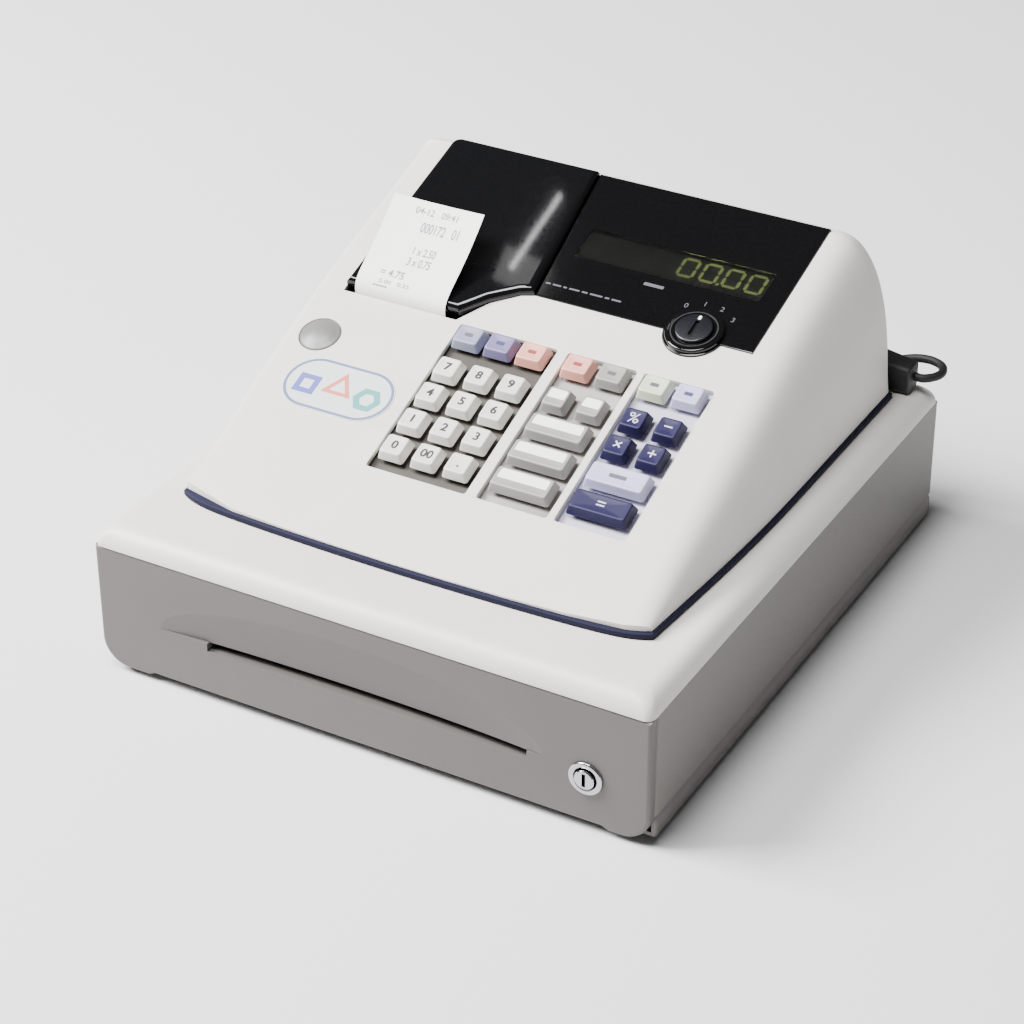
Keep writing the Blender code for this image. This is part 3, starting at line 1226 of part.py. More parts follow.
def build_printer():
    """Printer frame with its two side plates, the platen roller, the paper roll and the receipt."""
    right = PAPER_LEFT + PAPER_WIDTH
    outer_left = PAPER_LEFT - FRAME_SIDE_GAP - FRAME_PLATE
    outer_right = right + FRAME_SIDE_GAP + FRAME_PLATE
    base = LEDGE_HEIGHT + FIT_GAP
    low = (outer_left, FRAME_FRONT_Y, base)
    high = (outer_right, FRAME_REAR_Y, base + FRAME_FLOOR)
    frame = add_part("printer_frame", box_mesh(low, high), DARK_GREY)
    upright = Matrix(((0, 0, 1, 0), (1, 0, 0, 0), (0, 1, 0, 0), (0, 0, 0, 1)))
    for start in (outer_left, outer_right - FRAME_PLATE):
        plate = plate_mesh(frame_plate_outline(), 0.0, FRAME_PLATE)
        plate.transform(Matrix.Translation((start, 0.0, 0.0)) @ upright)
        join(frame, plate)
    hole = cylinder_mesh(PLATEN_SHAFT_RADIUS + RUNNING_GAP, BASE_WIDTH, (1, 0, 0), (-BASE_HALF, PLATEN_Y, PLATEN_Z))
    cut(frame, hole)
    half = PAPER_WIDTH / 2
    shaft = half + FRAME_SIDE_GAP + FRAME_PLATE
    profile = [(0.0, shaft), (PLATEN_SHAFT_RADIUS, shaft), (PLATEN_SHAFT_RADIUS, half), (PLATEN_RADIUS, half)]
    profile += [(PLATEN_RADIUS, -half), (PLATEN_SHAFT_RADIUS, -half), (PLATEN_SHAFT_RADIUS, -shaft), (0.0, -shaft)]
    middle = PAPER_LEFT + half
    mesh = turned_mesh(profile, "platen_roller", (1, 0, 0), (0, 0, 0))
    add_part("platen_roller", mesh, RUBBER, Matrix.Translation((middle, PLATEN_Y, PLATEN_Z)))
    profile = [(0.0, shaft), (SPINDLE_RADIUS, shaft), (SPINDLE_RADIUS, half), (ROLL_RADIUS, half)]
    profile += [(ROLL_RADIUS, -half), (SPINDLE_RADIUS, -half), (SPINDLE_RADIUS, -shaft), (0.0, -shaft)]
    mesh = turned_mesh(profile, "paper_roll", (1, 0, 0), (0, 0, 0), 36)
    add_part("paper_roll", mesh, PAPER, Matrix.Translation((middle, ROLL_Y, ROLL_Z)))


def receipt_path():
    """Centre line of the receipt in Y and Z."""
    points = []
    for lean, rise in RECEIPT_SHARES:
        points.append((0.0, RECEIPT_FOOT_Y + RECEIPT_LEAN * lean, RECEIPT_FOOT_Z + RECEIPT_RISE * rise))
    return points


def build_receipt():
    """The printed receipt: a strip that comes up through the slot and leans back over the cover."""
    shape = bmesh.new()
    pairs = []
    for x, y, z in smooth_path(receipt_path(), RECEIPT_STEPS):
        pairs.append([shape.verts.new((edge, y, z)) for edge in (PAPER_LEFT, PAPER_LEFT + PAPER_WIDTH)])
    for lower, upper in zip(pairs, pairs[1:]):
        shape.faces.new((lower[0], lower[1], upper[1], upper[0]))
    sheet = add_part("receipt", mesh_from(shape, "receipt"), PAPER)
    wall = sheet.modifiers.new("wall", "SOLIDIFY")
    wall.thickness = PAPER_THICKNESS
    wall.offset = 0.0
    return sheet


def smooth_path(points, steps):
    """Points on a smooth curve through the given points."""
    ends = [Vector(point) for point in points]
    padded = [ends[0] * 2 - ends[1]] + ends + [ends[-1] * 2 - ends[-2]]
    result = []
    for index in range(1, len(padded) - 2):
        a, b, c, d = padded[index - 1:index + 3]
        for step in range(steps):
            t = step / steps
            value = (b * 2 + (c - a) * t + (a * 2 - b * 5 + c * 4 - d) * t ** 2 + (b * 3 - a - c * 3 + d) * t ** 3) / 2
            result.append(value)
    result.append(padded[-2])
    return [tuple(point) for point in result]


# Mains lead
def tube_mesh(points, diameter, resolution, name):
    """A round tube along points, as a bevelled curve turned into one closed mesh."""
    curve = bpy.data.curves.new(name, "CURVE")
    curve.dimensions = "3D"
    curve.bevel_depth = diameter / 2
    curve.bevel_resolution = resolution
    curve.use_fill_caps = True
    spline = curve.splines.new("POLY")
    spline.points.add(len(points) - 1)
    for point, place in zip(spline.points, points):
        point.co = (*place, 1.0)
    item = bpy.data.objects.new(name, curve)
    CUTTERS.objects.link(item)
    graph = bpy.context.evaluated_depsgraph_get()
    raw = bpy.data.meshes.new_from_object(item.evaluated_get(graph))
    bpy.data.objects.remove(item, do_unlink=True)
    shape = bmesh.new()
    shape.from_mesh(raw)
    bmesh.ops.remove_doubles(shape, verts=shape.verts[:], dist=FIT_GAP / 10)
    return mesh_from(shape, name)


def coil_points():
    """Centre line of the coil: in by one layer, up at the inside, and out again by the next."""
    turns = COIL_LAYER_TURNS * 2 + 0.5
    count = round(turns * COIL_POINTS_PER_TURN)
    floor = CORD_DIAMETER / 2 + FLOOR_CLEARANCE
    inner = COIL_OUTER - COIL_PITCH * COIL_LAYER_TURNS
    points = []
    for index in range(count + 1):
        turn = turns * index / count
        if turn <= COIL_LAYER_TURNS:
            radius = COIL_OUTER - COIL_PITCH * turn
            height = floor
        elif turn <= COIL_LAYER_TURNS + 0.5:
            radius = inner
            height = floor + COIL_LAYER_STEP * (turn - COIL_LAYER_TURNS) * 2
        else:
            radius = inner + COIL_PITCH * (turn - COIL_LAYER_TURNS - 0.5)
            height = floor + COIL_LAYER_STEP
        angle = turn * math.tau
        points.append((COIL_X + radius * math.cos(angle), COIL_Y + radius * math.sin(angle), height))
    first = (points[0][0], points[0][1] - CORD_DIAMETER, points[0][2])
    last = Vector(points[-1])
    angle = turns * math.tau
    last = last + Vector((-math.sin(angle), math.cos(angle), 0.0)) * CORD_DIAMETER
    return [first] + points + [tuple(last)]


def least_gap(points, diameter):
    """Least distance between the tube's surface and itself, a turn or more apart."""
    nearest = BASE_WIDTH
    skip = COIL_POINTS_PER_TURN // 2
    places = [Vector(point) for point in points]
    for index, here in enumerate(places):
        for other in places[index + skip:]:
            nearest = min(nearest, (here - other).length)
    return nearest - diameter


def gland_section(x, back, top):
    """One end of the outlet block, in Y and Z."""
    front = CASE_REAR + TRIM_PROUD + FIT_GAP
    foot = LEDGE_HEIGHT + FIT_GAP
    outline = rounded_rectangle(front, foot, front + back, foot + top, GLAND_CORNER)
    return [(x, y, z) for y, z in outline]


def path_length(points):
    """Length of a path through points."""
    return sum((Vector(b) - Vector(a)).length for a, b in zip(points, points[1:]))


def build_lead():
    """Outlet block on the rear ledge, the free stretch of the lead, its coil on the floor and its plug."""
    sections = [gland_section(GLAND_LEFT, GLAND_BACK_ROOT, GLAND_TOP_ROOT)]
    sections.append(gland_section(GLAND_RIGHT, GLAND_BACK_TIP, GLAND_TOP_TIP))
    add_part("cord_gland", loft_mesh(sections, "cord_gland"), RUBBER)
    coil = coil_points()
    start = (GLAND_RIGHT + FIT_GAP, CORD_EXIT_Y, CORD_EXIT_Z)
    end = (coil[0][0], coil[0][1] - FIT_GAP, coil[0][2])
    route = smooth_path([start] + list(CORD_ROUTE) + [end], 2)
    add_part("power_cord", tube_mesh(route, CORD_DIAMETER, 2, "power_cord"), RUBBER)
    add_part("cord_hank", tube_mesh(coil, CORD_DIAMETER, 1, "cord_hank"), RUBBER)
    print("coil least gap mm", round(least_gap(coil, CORD_DIAMETER) * 1000, 3))
    print("lead length m", round(path_length(route) + path_length(coil), 4))
    direction = (Vector(coil[-1]) - Vector(coil[-2])).normalized()
    nose = Vector(coil[-1]) + direction * FIT_GAP
    radius = PLUG_RADIUS
    profile = [(0.0, PLUG_LENGTH), (radius, PLUG_LENGTH), (radius, PLUG_LENGTH - PLUG_FLANGE)]
    profile += [(radius - FOOT_RIM, PLUG_LENGTH - PLUG_FLANGE), (radius - FOOT_RIM, PLUG_LENGTH / 2)]
    profile += [(PLUG_NOSE_RADIUS, PLUG_FLANGE), (PLUG_NOSE_RADIUS, 0.0), (0.0, 0.0)]
    plug = add_part("plug", turned_mesh(profile, "plug", direction, nose, 16), RUBBER)
    side = direction.cross(Vector((0.0, 0.0, 1.0)))
    for half in (-1, 1):
        root = nose + direction * (PLUG_LENGTH - PLUG_FLANGE) + side * half * PLUG_PIN_PITCH / 2
        length = PLUG_PIN_LENGTH + PLUG_FLANGE
        join(plug, cylinder_mesh(PLUG_PIN_RADIUS, length, direction, root, 8))


build_pan()
build_top_cover()
build_feet()
build_drawer_front()
build_lock()
build_tray()
build_insert()
build_clips()
build_case()
build_trim()
build_deck()
build_keys()
build_display()
build_printer_cover()
build_printer()
build_receipt()
build_lead()
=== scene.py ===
"""Ticket register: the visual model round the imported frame.

Each sub-assembly is a class that holds its sizes in metres and builds its own pieces.
The keyboard and the black panel have frames of their own: along X, up the slope, and outwards.
"""
import functools
import logging
import math
from dataclasses import dataclass
from enum import Enum

import bmesh
import bpy
from mathutils import Matrix, Vector


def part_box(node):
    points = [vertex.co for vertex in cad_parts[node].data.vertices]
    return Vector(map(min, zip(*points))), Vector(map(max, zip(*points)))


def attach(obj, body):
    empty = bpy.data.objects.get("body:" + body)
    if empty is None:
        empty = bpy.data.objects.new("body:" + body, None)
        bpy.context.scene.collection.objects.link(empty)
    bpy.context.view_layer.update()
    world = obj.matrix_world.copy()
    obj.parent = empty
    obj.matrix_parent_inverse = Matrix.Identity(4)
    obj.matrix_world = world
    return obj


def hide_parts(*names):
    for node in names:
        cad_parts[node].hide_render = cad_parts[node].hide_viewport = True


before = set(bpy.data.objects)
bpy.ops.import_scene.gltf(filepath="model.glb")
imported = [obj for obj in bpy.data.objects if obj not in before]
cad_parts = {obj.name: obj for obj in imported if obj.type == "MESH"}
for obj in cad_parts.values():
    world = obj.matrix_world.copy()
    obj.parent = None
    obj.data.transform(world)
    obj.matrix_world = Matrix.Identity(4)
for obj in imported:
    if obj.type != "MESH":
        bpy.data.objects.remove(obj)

LOG = logging.getLogger("ticket_register")
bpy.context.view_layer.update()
ROUND = 48
FINE_ROUND = 64
SMOOTH_ANGLE = math.radians(32)
MERGE = 0.00001
OVERRUN = 0.010
FIT_GAP = 0.0003
PRINT_LIFT = 0.00006
ACRYLIC_IOR = 1.49
BOLD = 0.018
Item = bpy.types.Object
Mesh = bpy.types.Mesh
Material = bpy.types.Material
Socket = bpy.types.NodeSocket
Outline = list[tuple[float, float]]
Point = tuple[float, float, float]
Colour = tuple[float, float, float, float]


# Colour and shader nodes
def linear(hex_colour: str) -> Colour:
    """Turn an sRGB hex colour into linear red, green, blue and alpha.

    Args:
        hex_colour: Six hex digits.

    Returns:
        The colour with alpha 1.
    """
    channels = [int(hex_colour[place:place + 2], 16) / 255 for place in (0, 2, 4)]
    curve = [value / 12.92 if value <= 0.04045 else ((value + 0.055) / 1.055) ** 2.4 for value in channels]
    return (curve[0], curve[1], curve[2], 1.0)


def shade(colour: Colour, factor: float, lift: float = 0.0) -> Colour:
    """A colour made darker or lighter, with alpha 1."""
    red, green, blue = (min(value * factor + lift, 1.0) for value in colour[:3])
    return (red, green, blue, 1.0)


def feed(node: bpy.types.Node, inputs: dict) -> None:
    """Give a node's inputs values or links.

    Args:
        node: The node.
        inputs: Input name or number to a value, or to an output socket that feeds it.
    """
    for name, value in inputs.items():
        if isinstance(value, Socket):
            node.id_data.links.new(value, node.inputs[name])
        else:
            node.inputs[name].default_value = value


def add_node(tree: bpy.types.NodeTree, kind: str, inputs: dict | None = None, **settings) -> bpy.types.Node:
    """Add a node with its settings, and feed its inputs.

    Args:
        tree: The node tree.
        kind: The node's type name.
        inputs: What feed gives to its inputs.
        **settings: The node's own properties.

    Returns:
        The new node.
    """
    node = tree.nodes.new(kind)
    for name, value in settings.items():
        setattr(node, name, value)
    feed(node, inputs or {})
    return node


class Surface:
    """A node material in object coordinates, built up pattern by pattern."""

    def __init__(self, name: str) -> None:
        """Start the material.

        Args:
            name: The material's name.
        """
        self.material = bpy.data.materials.new(name)
        self.material.use_nodes = True
        self.tree = self.material.node_tree
        self.shader = self.tree.nodes["Principled BSDF"]
        self.place = add_node(self.tree, "ShaderNodeTexCoord").outputs["Object"]

    def noise(self, size: float, detail: float, stretch: Point | None = None) -> Socket:
        """Noise with features of a real size.

        Args:
            size: Size of a feature.
            detail: Number of finer octaves.
            stretch: Scale along each axis.

        Returns:
            The noise's value.
        """
        place = self.place
        if stretch:
            place = add_node(self.tree, "ShaderNodeMapping", {"Vector": place, "Scale": stretch}).outputs["Vector"]
        inputs = {"Vector": place, "Scale": 1 / size, "Detail": detail}
        return add_node(self.tree, "ShaderNodeTexNoise", inputs).outputs["Fac"]

    def tone(self, factor: Socket, first: Colour | Socket,
             second: Colour) -> Socket:
        """Let the base colour follow a pattern.

        Args:
            factor: The pattern.
            first: Colour where it is 0.
            second: Colour where it is 1.

        Returns:
            The mixed colour.
        """
        inputs = {"Factor": factor, 6: first, 7: second}
        mixed = add_node(self.tree, "ShaderNodeMix", inputs, data_type="RGBA").outputs[2]
        feed(self.shader, {"Base Color": mixed})
        return mixed

    def sheen(self, factor: Socket, low: float, high: float,
              span: tuple[float, float] = (0.0, 1.0)) -> None:
        """Let the roughness follow a pattern.

        Args:
            factor: The pattern.
            low: Roughness at the start of the span.
            high: Roughness at its end.
            span: Part of the pattern that counts.
        """
        inputs = {"Value": factor, "From Min": span[0], "From Max": span[1], "To Min": low, "To Max": high}
        feed(self.shader, {"Roughness": add_node(self.tree, "ShaderNodeMapRange", inputs).outputs["Result"]})

    def bump(self, height: Socket, strength: float, distance: float) -> None:
        """Let the surface rise and fall with a pattern.

        Args:
            height: The pattern.
            strength: How much of it shows.
            distance: Height of its relief.
        """
        inputs = {"Height": height, "Strength": strength, "Distance": distance}
        feed(self.shader, {"Normal": add_node(self.tree, "ShaderNodeBump", inputs).outputs["Normal"]})


@dataclass(frozen=True)
class Finish:
    """A finish by the name of its real material, with its base colour."""

    name: str
    colour: str

    @functools.cache
    def build(self) -> Material:
        """Make the material, once.

        Returns:
            The material.
        """
        skin = Surface(self.name)
        self.dress(skin, linear(self.colour))
        return skin.material

    def dress(self, skin: Surface, base: Colour) -> None:
        """Lay the finish's patterns over its base colour.

        Args:
            skin: The material.
            base: The base colour.
        """
        raise NotImplementedError


@dataclass(frozen=True)
class MouldedPlastic(Finish):
    """Injection-moulded ABS: a spark-eroded grain, a soft sheen and a faint unevenness of colour."""

    roughness: float = 0.42
    grain: float = 0.0011
    relief: float = 0.00003
    mottle: float = 0.05
    patch: float = 0.045
    ior: float = 1.53
    sheen_spread: float = 0.05

    def dress(self, skin: Surface, base: Colour) -> None:
        """Patches of colour, and the grain in sheen and relief.

        Args:
            skin: The material.
            base: The base colour.
        """
        skin.tone(skin.noise(self.patch, 3.0), shade(base, 1 - self.mottle), shade(base, 1 + self.mottle))
        grain = skin.noise(self.grain, 2.0)
        skin.sheen(grain, self.roughness - self.sheen_spread, self.roughness + self.sheen_spread)
        skin.bump(grain, 0.6, self.relief * 4)
        feed(skin.shader, {"IOR": self.ior})


@dataclass(frozen=True)
class GlossPlastic(Finish):
    """Polished acrylic or lacquered ABS: a deep colour under a clear, slightly rippled gloss."""

    roughness: float = 0.05
    ripple: float = 0.020
    ripple_depth: float = 0.00004
    dust: float = 0.0016
    dust_dull: float = 0.02
    dust_lift: float = 0.003

    def dress(self, skin: Surface, base: Colour) -> None:
        """A slow ripple, and dust that dulls and lifts the black.

        Args:
            skin: The material.
            base: The base colour.
        """
        skin.bump(skin.noise(self.ripple, 1.0), 0.5, self.ripple_depth)
        dust = skin.noise(self.dust, 4.0)
        skin.sheen(dust, self.roughness, self.roughness + self.dust_dull, (0.35, 0.75))
        skin.tone(dust, base, shade(base, 1.0, self.dust_lift))
        feed(skin.shader, {"IOR": ACRYLIC_IOR})


@dataclass(frozen=True)
class SheetMetal(Finish):
    """Rolled, galvanised or plated metal: streaks along one direction, or the flakes of zinc."""

    roughness: float = 0.35
    metallic: float = 1.0
    streak: Point = (60.0, 900.0, 900.0)
    contrast: float = 0.10
    relief: float = 0.00002
    sheen_spread: float = 0.06
    brightest: float = 0.03

    def dress(self, skin: Surface, base: Colour) -> None:
        """Streaks in colour, sheen and relief.

        Args:
            skin: The material.
            base: The base colour.
        """
        streaks = skin.noise(1.0, 3.0, self.streak)
        skin.tone(streaks, shade(base, 1 - self.contrast), base)
        skin.sheen(streaks, max(self.roughness - self.sheen_spread, self.brightest), self.roughness + self.sheen_spread)
        skin.bump(streaks, 0.4, self.relief)
        feed(skin.shader, {"Metallic": self.metallic})


@dataclass(frozen=True)
class SoftVinyl(Finish):
    """Soft PVC or rubber: a dull dark skin with fine pits and paler rubbed patches."""

    roughness: float = 0.62
    pits: float = 0.0012
    rub: float = 0.03
    sheen_spread: float = 0.08

    def dress(self, skin: Surface, base: Colour) -> None:
        """Pits in relief, and rubbed patches in colour and sheen.

        Args:
            skin: The material.
            base: The base colour.
        """
        pits = add_node(skin.tree, "ShaderNodeTexVoronoi", {"Vector": skin.place, "Scale": 1 / self.pits})
        skin.bump(pits.outputs["Distance"], 0.25, self.pits / 12)
        rub = skin.noise(self.rub, 4.0)
        skin.tone(rub, base, shade(base, 1.5, 0.004))
        skin.sheen(rub, self.roughness - self.sheen_spread, self.roughness + self.sheen_spread)


@dataclass(frozen=True)
class ThermalPaper(Finish):
    """Thermal till paper: a smooth white coating over short fibres, with a slight sheen."""

    fibre: float = 0.0012
    run: Point = (1.0, 0.35, 0.35)

    def dress(self, skin: Surface, base: Colour) -> None:
        """Fibres in colour and relief.

        Args:
            skin: The material.
            base: The base colour.
        """
        fibres = skin.noise(self.fibre, 5.0, self.run)
        skin.tone(fibres, shade(base, 0.93), base)
        skin.bump(fibres, 0.2, self.fibre / 20)
        feed(skin.shader, {"Roughness": 0.55})


@dataclass(frozen=True)
class FieldPlastic(Finish):
    """Moulded plate whose colour changes from one key field to the next, at given places along X."""

    others: tuple[str, str]
    edges: tuple[float, float]
    grain: float = 0.0011

    def dress(self, skin: Surface, base: Colour) -> None:
        """The colours of the fields, and the grain in relief.

        Args:
            skin: The material.
            base: The colour of the leftmost field.
        """
        along = add_node(skin.tree, "ShaderNodeSeparateXYZ", {"Vector": skin.place}).outputs["X"]
        colour = base
        for other, edge in zip(self.others, self.edges):
            beyond = add_node(skin.tree, "ShaderNodeMath", {0: along, 1: edge}, operation="GREATER_THAN")
            colour = skin.tone(beyond.outputs[0], colour, linear(other))
        skin.bump(skin.noise(self.grain, 2.0), 0.5, self.grain / 12)
        feed(skin.shader, {"Roughness": 0.5})


@dataclass(frozen=True)
class Phosphor(Finish):
    """Segments of a fluorescent display: a glow of the given strength with a fine uneven coat."""

    strength: float
    speckle: float = 0.0008

    def dress(self, skin: Surface, base: Colour) -> None:
        """The coat in colour and glow.

        Args:
            skin: The material.
            base: The base colour.
        """
        glow = skin.tone(skin.noise(self.speckle, 2.0), shade(base, 0.8), base)
        feed(skin.shader, {"Emission Color": glow, "Emission Strength": self.strength, "Roughness": 0.6})


@dataclass(frozen=True)
class SmokedFilter(Finish):
    """Smoked acrylic filter over the display: clear enough for the lit figures, dark for the rest."""

    haze_scale: float = 90.0

    def dress(self, skin: Surface, base: Colour) -> None:
        """Haze in the sheen of a clear sheet.

        Args:
            skin: The material.
            base: The base colour.
        """
        skin.sheen(skin.noise(1 / self.haze_scale, 3.0), 0.04, 0.14)
        feed(skin.shader, {"Base Color": base, "Transmission Weight": 1.0, "IOR": ACRYLIC_IOR})


# Every finish, by the name of its real material
FINISHES: dict[str, Finish] = {finish.name: finish for finish in (
    # Off-white ABS of the housings: warm, with a fine even grain and a soft sheen
    MouldedPlastic("cream_abs", "D6D3CD"),
    # Warm grey ABS of the drawer front: the same grain, darker
    MouldedPlastic("warm_grey_abs", "575350", roughness=0.48),
    # Powder-coated steel of the cabinet: orange-peel relief, a little paler than the front
    MouldedPlastic("grey_powder_coat", "6E6A66", roughness=0.52, grain=0.0018, relief=0.00006),
    # Slate blue ABS strip: smooth and nearly dull
    MouldedPlastic("slate_blue_abs", "12122C", roughness=0.75, ior=1.33, grain=0.0008, relief=0.00001),
    # Black acrylic panel: deep gloss with slight ripple
    GlossPlastic("black_acrylic", "020203"),
    # Smoked printer cover: polished, with a slow ripple, so that it mirrors the two small lights
    GlossPlastic("smoked_black_cover", "040406", roughness=0.025, ripple=0.060),
    # Black moulded ABS of the till insert and the note clips: even and satin
    MouldedPlastic("black_abs", "111114", roughness=0.5),
    # Dark navy ABS of the knob: satin, so that the key light leaves a crescent on its rim
    MouldedPlastic("knob_navy", "06060E", roughness=0.33),
    # Hard chrome over brass: bright, with the faintest polishing streaks
    SheetMetal("chrome_plate", "B6B6BA", roughness=0.16, streak=(900.0, 60.0, 900.0), contrast=0.05),
    # Galvanised sheet steel of the tray: zinc flakes of a few millimetres
    SheetMetal("galvanised_sheet", "A9ABAD", roughness=0.42, streak=(160.0, 220.0, 160.0), contrast=0.25),
    # Painted steel bracket of the printer: rolled streaks under a thin dark coat
    SheetMetal("painted_bracket", "55565A", roughness=0.45, metallic=0.3),
    # Soft black PVC of the lead, and the rubber of the feet and the platen
    SoftVinyl("black_pvc", "08080A"),
    # Till paper of the roll and the receipt: white, short fibres
    ThermalPaper("thermal_paper", "F7F6F2"),
    # Paper labels under the clear windows of the wide keys: whiter than the paper
    ThermalPaper("key_label", "FCFBF7"),
    # Grey print of the receipt and the panel: uneven, as thermal dots are
    MouldedPlastic("print_grey", "55555B", grain=0.0006, mottle=0.2, patch=0.002),
    # Pad-printed ink of the keys' legends: thin, dull and fine-grained
    *(MouldedPlastic("legend_" + name, colour, grain=0.0006, relief=0.00001) for name, colour in (
        ("dark_grey", "2C2A27"), ("red", "8E3A38"), ("violet", "3E3A66"), ("pale_grey", "C9C9D6"))),
    # Ground of the key fields: warm grey, pale grey and lavender grey ABS
    FieldPlastic("key_field_plate", "39342E", ("9A9693", "B4B2C2"), (0.0085, 0.0590)),
    # Key caps: ABS with a finer grain than the housing, a little glossier where fingers polish it
    MouldedPlastic("key_off_white", "D6D4CD", roughness=0.36, grain=0.0008),
    MouldedPlastic("key_navy", "17113A", roughness=0.5, ior=1.38, grain=0.0008),
    *(MouldedPlastic("key_" + name, colour, roughness=0.38, grain=0.0008) for name, colour in (
        ("light_grey", "8E8C8A"), ("mid_grey", "6C6B6A"), ("lavender", "B0AFD0"), ("slate", "84889D"),
        ("mauve", "6F6A8F"), ("coral", "D9998A"), ("pale_green", "C6CCB2"))),
    # Fluorescent segments, lit and unlit: yellow-green coat that glows, or stays nearly black
    Phosphor("lit_segments", "80884E", 0.45),
    Phosphor("unlit_segments", "0C0E0B", 0.0),
    # Black mask behind the segments, and the smoked acrylic filter before them
    MouldedPlastic("display_mask", "060706", roughness=0.35),
    SmokedFilter("smoked_filter", "C4C6C0"),
    # Badge: printed and lacquered ABS, smoother than the case, with four inks
    *(MouldedPlastic("badge_" + name, colour, roughness=0.3, grain=0.0008) for name, colour in (
        ("ground", "D2D4D6"), ("rim", "6E7796"), ("blue", "6468B4"), ("coral", "D8786C"), ("teal", "5CA09B"))),
)}


# Meshes
def linked(name: str, data: bpy.types.ID) -> Item:
    """A new object of some data, in the scene.

    Args:
        name: The object's name.
        data: Its mesh, curve, light or camera.

    Returns:
        The object.
    """
    item = bpy.data.objects.new(name, data)
    bpy.context.scene.collection.objects.link(item)
    return item


def evaluated(item: Item) -> Mesh:
    """Turn an object with its modifiers into a plain mesh and remove the object.

    Args:
        item: The object.

    Returns:
        The mesh.
    """
    graph = bpy.context.evaluated_depsgraph_get()
    graph.update()
    mesh = bpy.data.meshes.new_from_object(item.evaluated_get(graph))
    bpy.data.objects.remove(item, do_unlink=True)
    return mesh


def mesh_from(shape: bmesh.types.BMesh, name: str) -> Mesh:
    """Turn a bmesh into a mesh with its faces pointing out.

    Args:
        shape: The bmesh, which is freed.
        name: The mesh's name.

    Returns:
        The mesh.
    """
    bmesh.ops.recalc_face_normals(shape, faces=shape.faces[:])
    mesh = bpy.data.meshes.new(name)
    shape.to_mesh(mesh)
    shape.free()
    return mesh


def merged(meshes: list[Mesh], name: str, distance: float = 0.0) -> Mesh:
    """Several meshes as one.

    Args:
        meshes: The meshes.
        name: The name of the result.
        distance: Points closer than this become one.

    Returns:
        The mesh.
    """
    shape = bmesh.new()
    for mesh in meshes:
        shape.from_mesh(mesh)
    if distance:
        bmesh.ops.remove_doubles(shape, verts=shape.verts[:], dist=distance)
    return mesh_from(shape, name)


def moved(mesh: Mesh, place: Matrix) -> Mesh:
    """The same mesh, carried into a frame."""
    mesh.transform(place)
    return mesh


def loft(sections: list[list[Point]], closed: bool = False) -> Mesh:
    """Skin sections that have the same number of points.

    Args:
        sections: Rings of points.
        closed: Join the last ring to the first instead of capping both.

    Returns:
        A closed mesh.
    """
    shape = bmesh.new()
    rings = [[shape.verts.new(point) for point in section] for section in sections]
    pairs = list(zip(rings, rings[1:]))
    if closed:
        pairs.append((rings[-1], rings[0]))
    count = len(rings[0])
    for lower, upper in pairs:
        for index in range(count):
            after = (index + 1) % count
            shape.faces.new((lower[index], lower[after], upper[after], upper[index]))
    if not closed:
        shape.faces.new(list(reversed(rings[0])))
        shape.faces.new(rings[-1])
    return mesh_from(shape, "loft")


def arc(x: float, y: float, radius: float, start_deg: float, end_deg: float, steps: int) -> Outline:
    """Points of an arc in a plane.

    Args:
        x: Centre along the first axis.
        y: Centre along the second axis.
        radius: The radius.
        start_deg: First angle in degrees.
        end_deg: Last angle in degrees.
        steps: Number of steps.

    Returns:
        steps + 1 points.
    """
    turns = [math.radians(start_deg + (end_deg - start_deg) * step / steps) for step in range(steps + 1)]
    return [(x + radius * math.cos(turn), y + radius * math.sin(turn)) for turn in turns]


def quarter(radius: float, steps: int) -> Outline:
    """Inset and drop of each step of an edge's rounding, from its side to its top."""
    turns = [math.radians(90) * step / steps for step in range(steps + 1)]
    return [(radius * (1 - math.cos(turn)), radius * (1 - math.sin(turn))) for turn in turns]


def rounded(low_x: float, low_y: float, high_x: float, high_y: float, radius: float, steps: int = 6) -> Outline:
    """A rectangle with round corners, anticlockwise.

    Args:
        low_x: Left side.
        low_y: Front side.
        high_x: Right side.
        high_y: Rear side.
        radius: Corner radius.
        steps: Steps of each corner.

    Returns:
        The outline.
    """
    left, right = low_x + radius, high_x - radius
    front, rear = low_y + radius, high_y - radius
    corners = ((right, front, -90), (right, rear, 0), (left, rear, 90), (left, front, 180))
    return [point for x, y, start in corners for point in arc(x, y, radius, start, start + 90, steps)]


def tablet(half_x: float, half_y: float, radius: float) -> Outline:
    """A rectangle with round corners about the origin."""
    return rounded(-half_x, -half_y, half_x, half_y, radius, 4)


def grow(outline: Outline, distance: float) -> Outline:
    """Move each side of an anticlockwise outline outwards.

    Args:
        outline: The outline.
        distance: How far; negative shrinks.

    Returns:
        The new outline.
    """
    grown = []
    points = [Vector(point) for point in outline]
    for before, here, after in zip(points[-1:] + points, points, points[1:] + points[:1]):
        first = (here - before).normalized()
        second = (after - here).normalized()
        side = Vector((first.y, -first.x))
        normal = (side + Vector((second.y, -second.x))).normalized()
        place = here + normal * distance / max(normal.dot(side), 0.5)
        grown.append((place.x, place.y))
    return grown


def slab(levels: list[tuple[Outline, float]]) -> Mesh:
    """Stack outlines at heights, bottom first, into one closed mesh."""
    return loft([[(x, y, height) for x, y in outline] for outline, height in levels])


def prism(outline: Outline, low: float, high: float) -> Mesh:
    """An outline as a closed mesh between two heights."""
    return slab([(outline, low), (outline, high)])


def box(low: Point, high: Point) -> Mesh:
    """A box between two corners, for cuts and joins."""
    return prism([(low[0], low[1]), (high[0], low[1]), (high[0], high[1]), (low[0], high[1])], low[2], high[2])


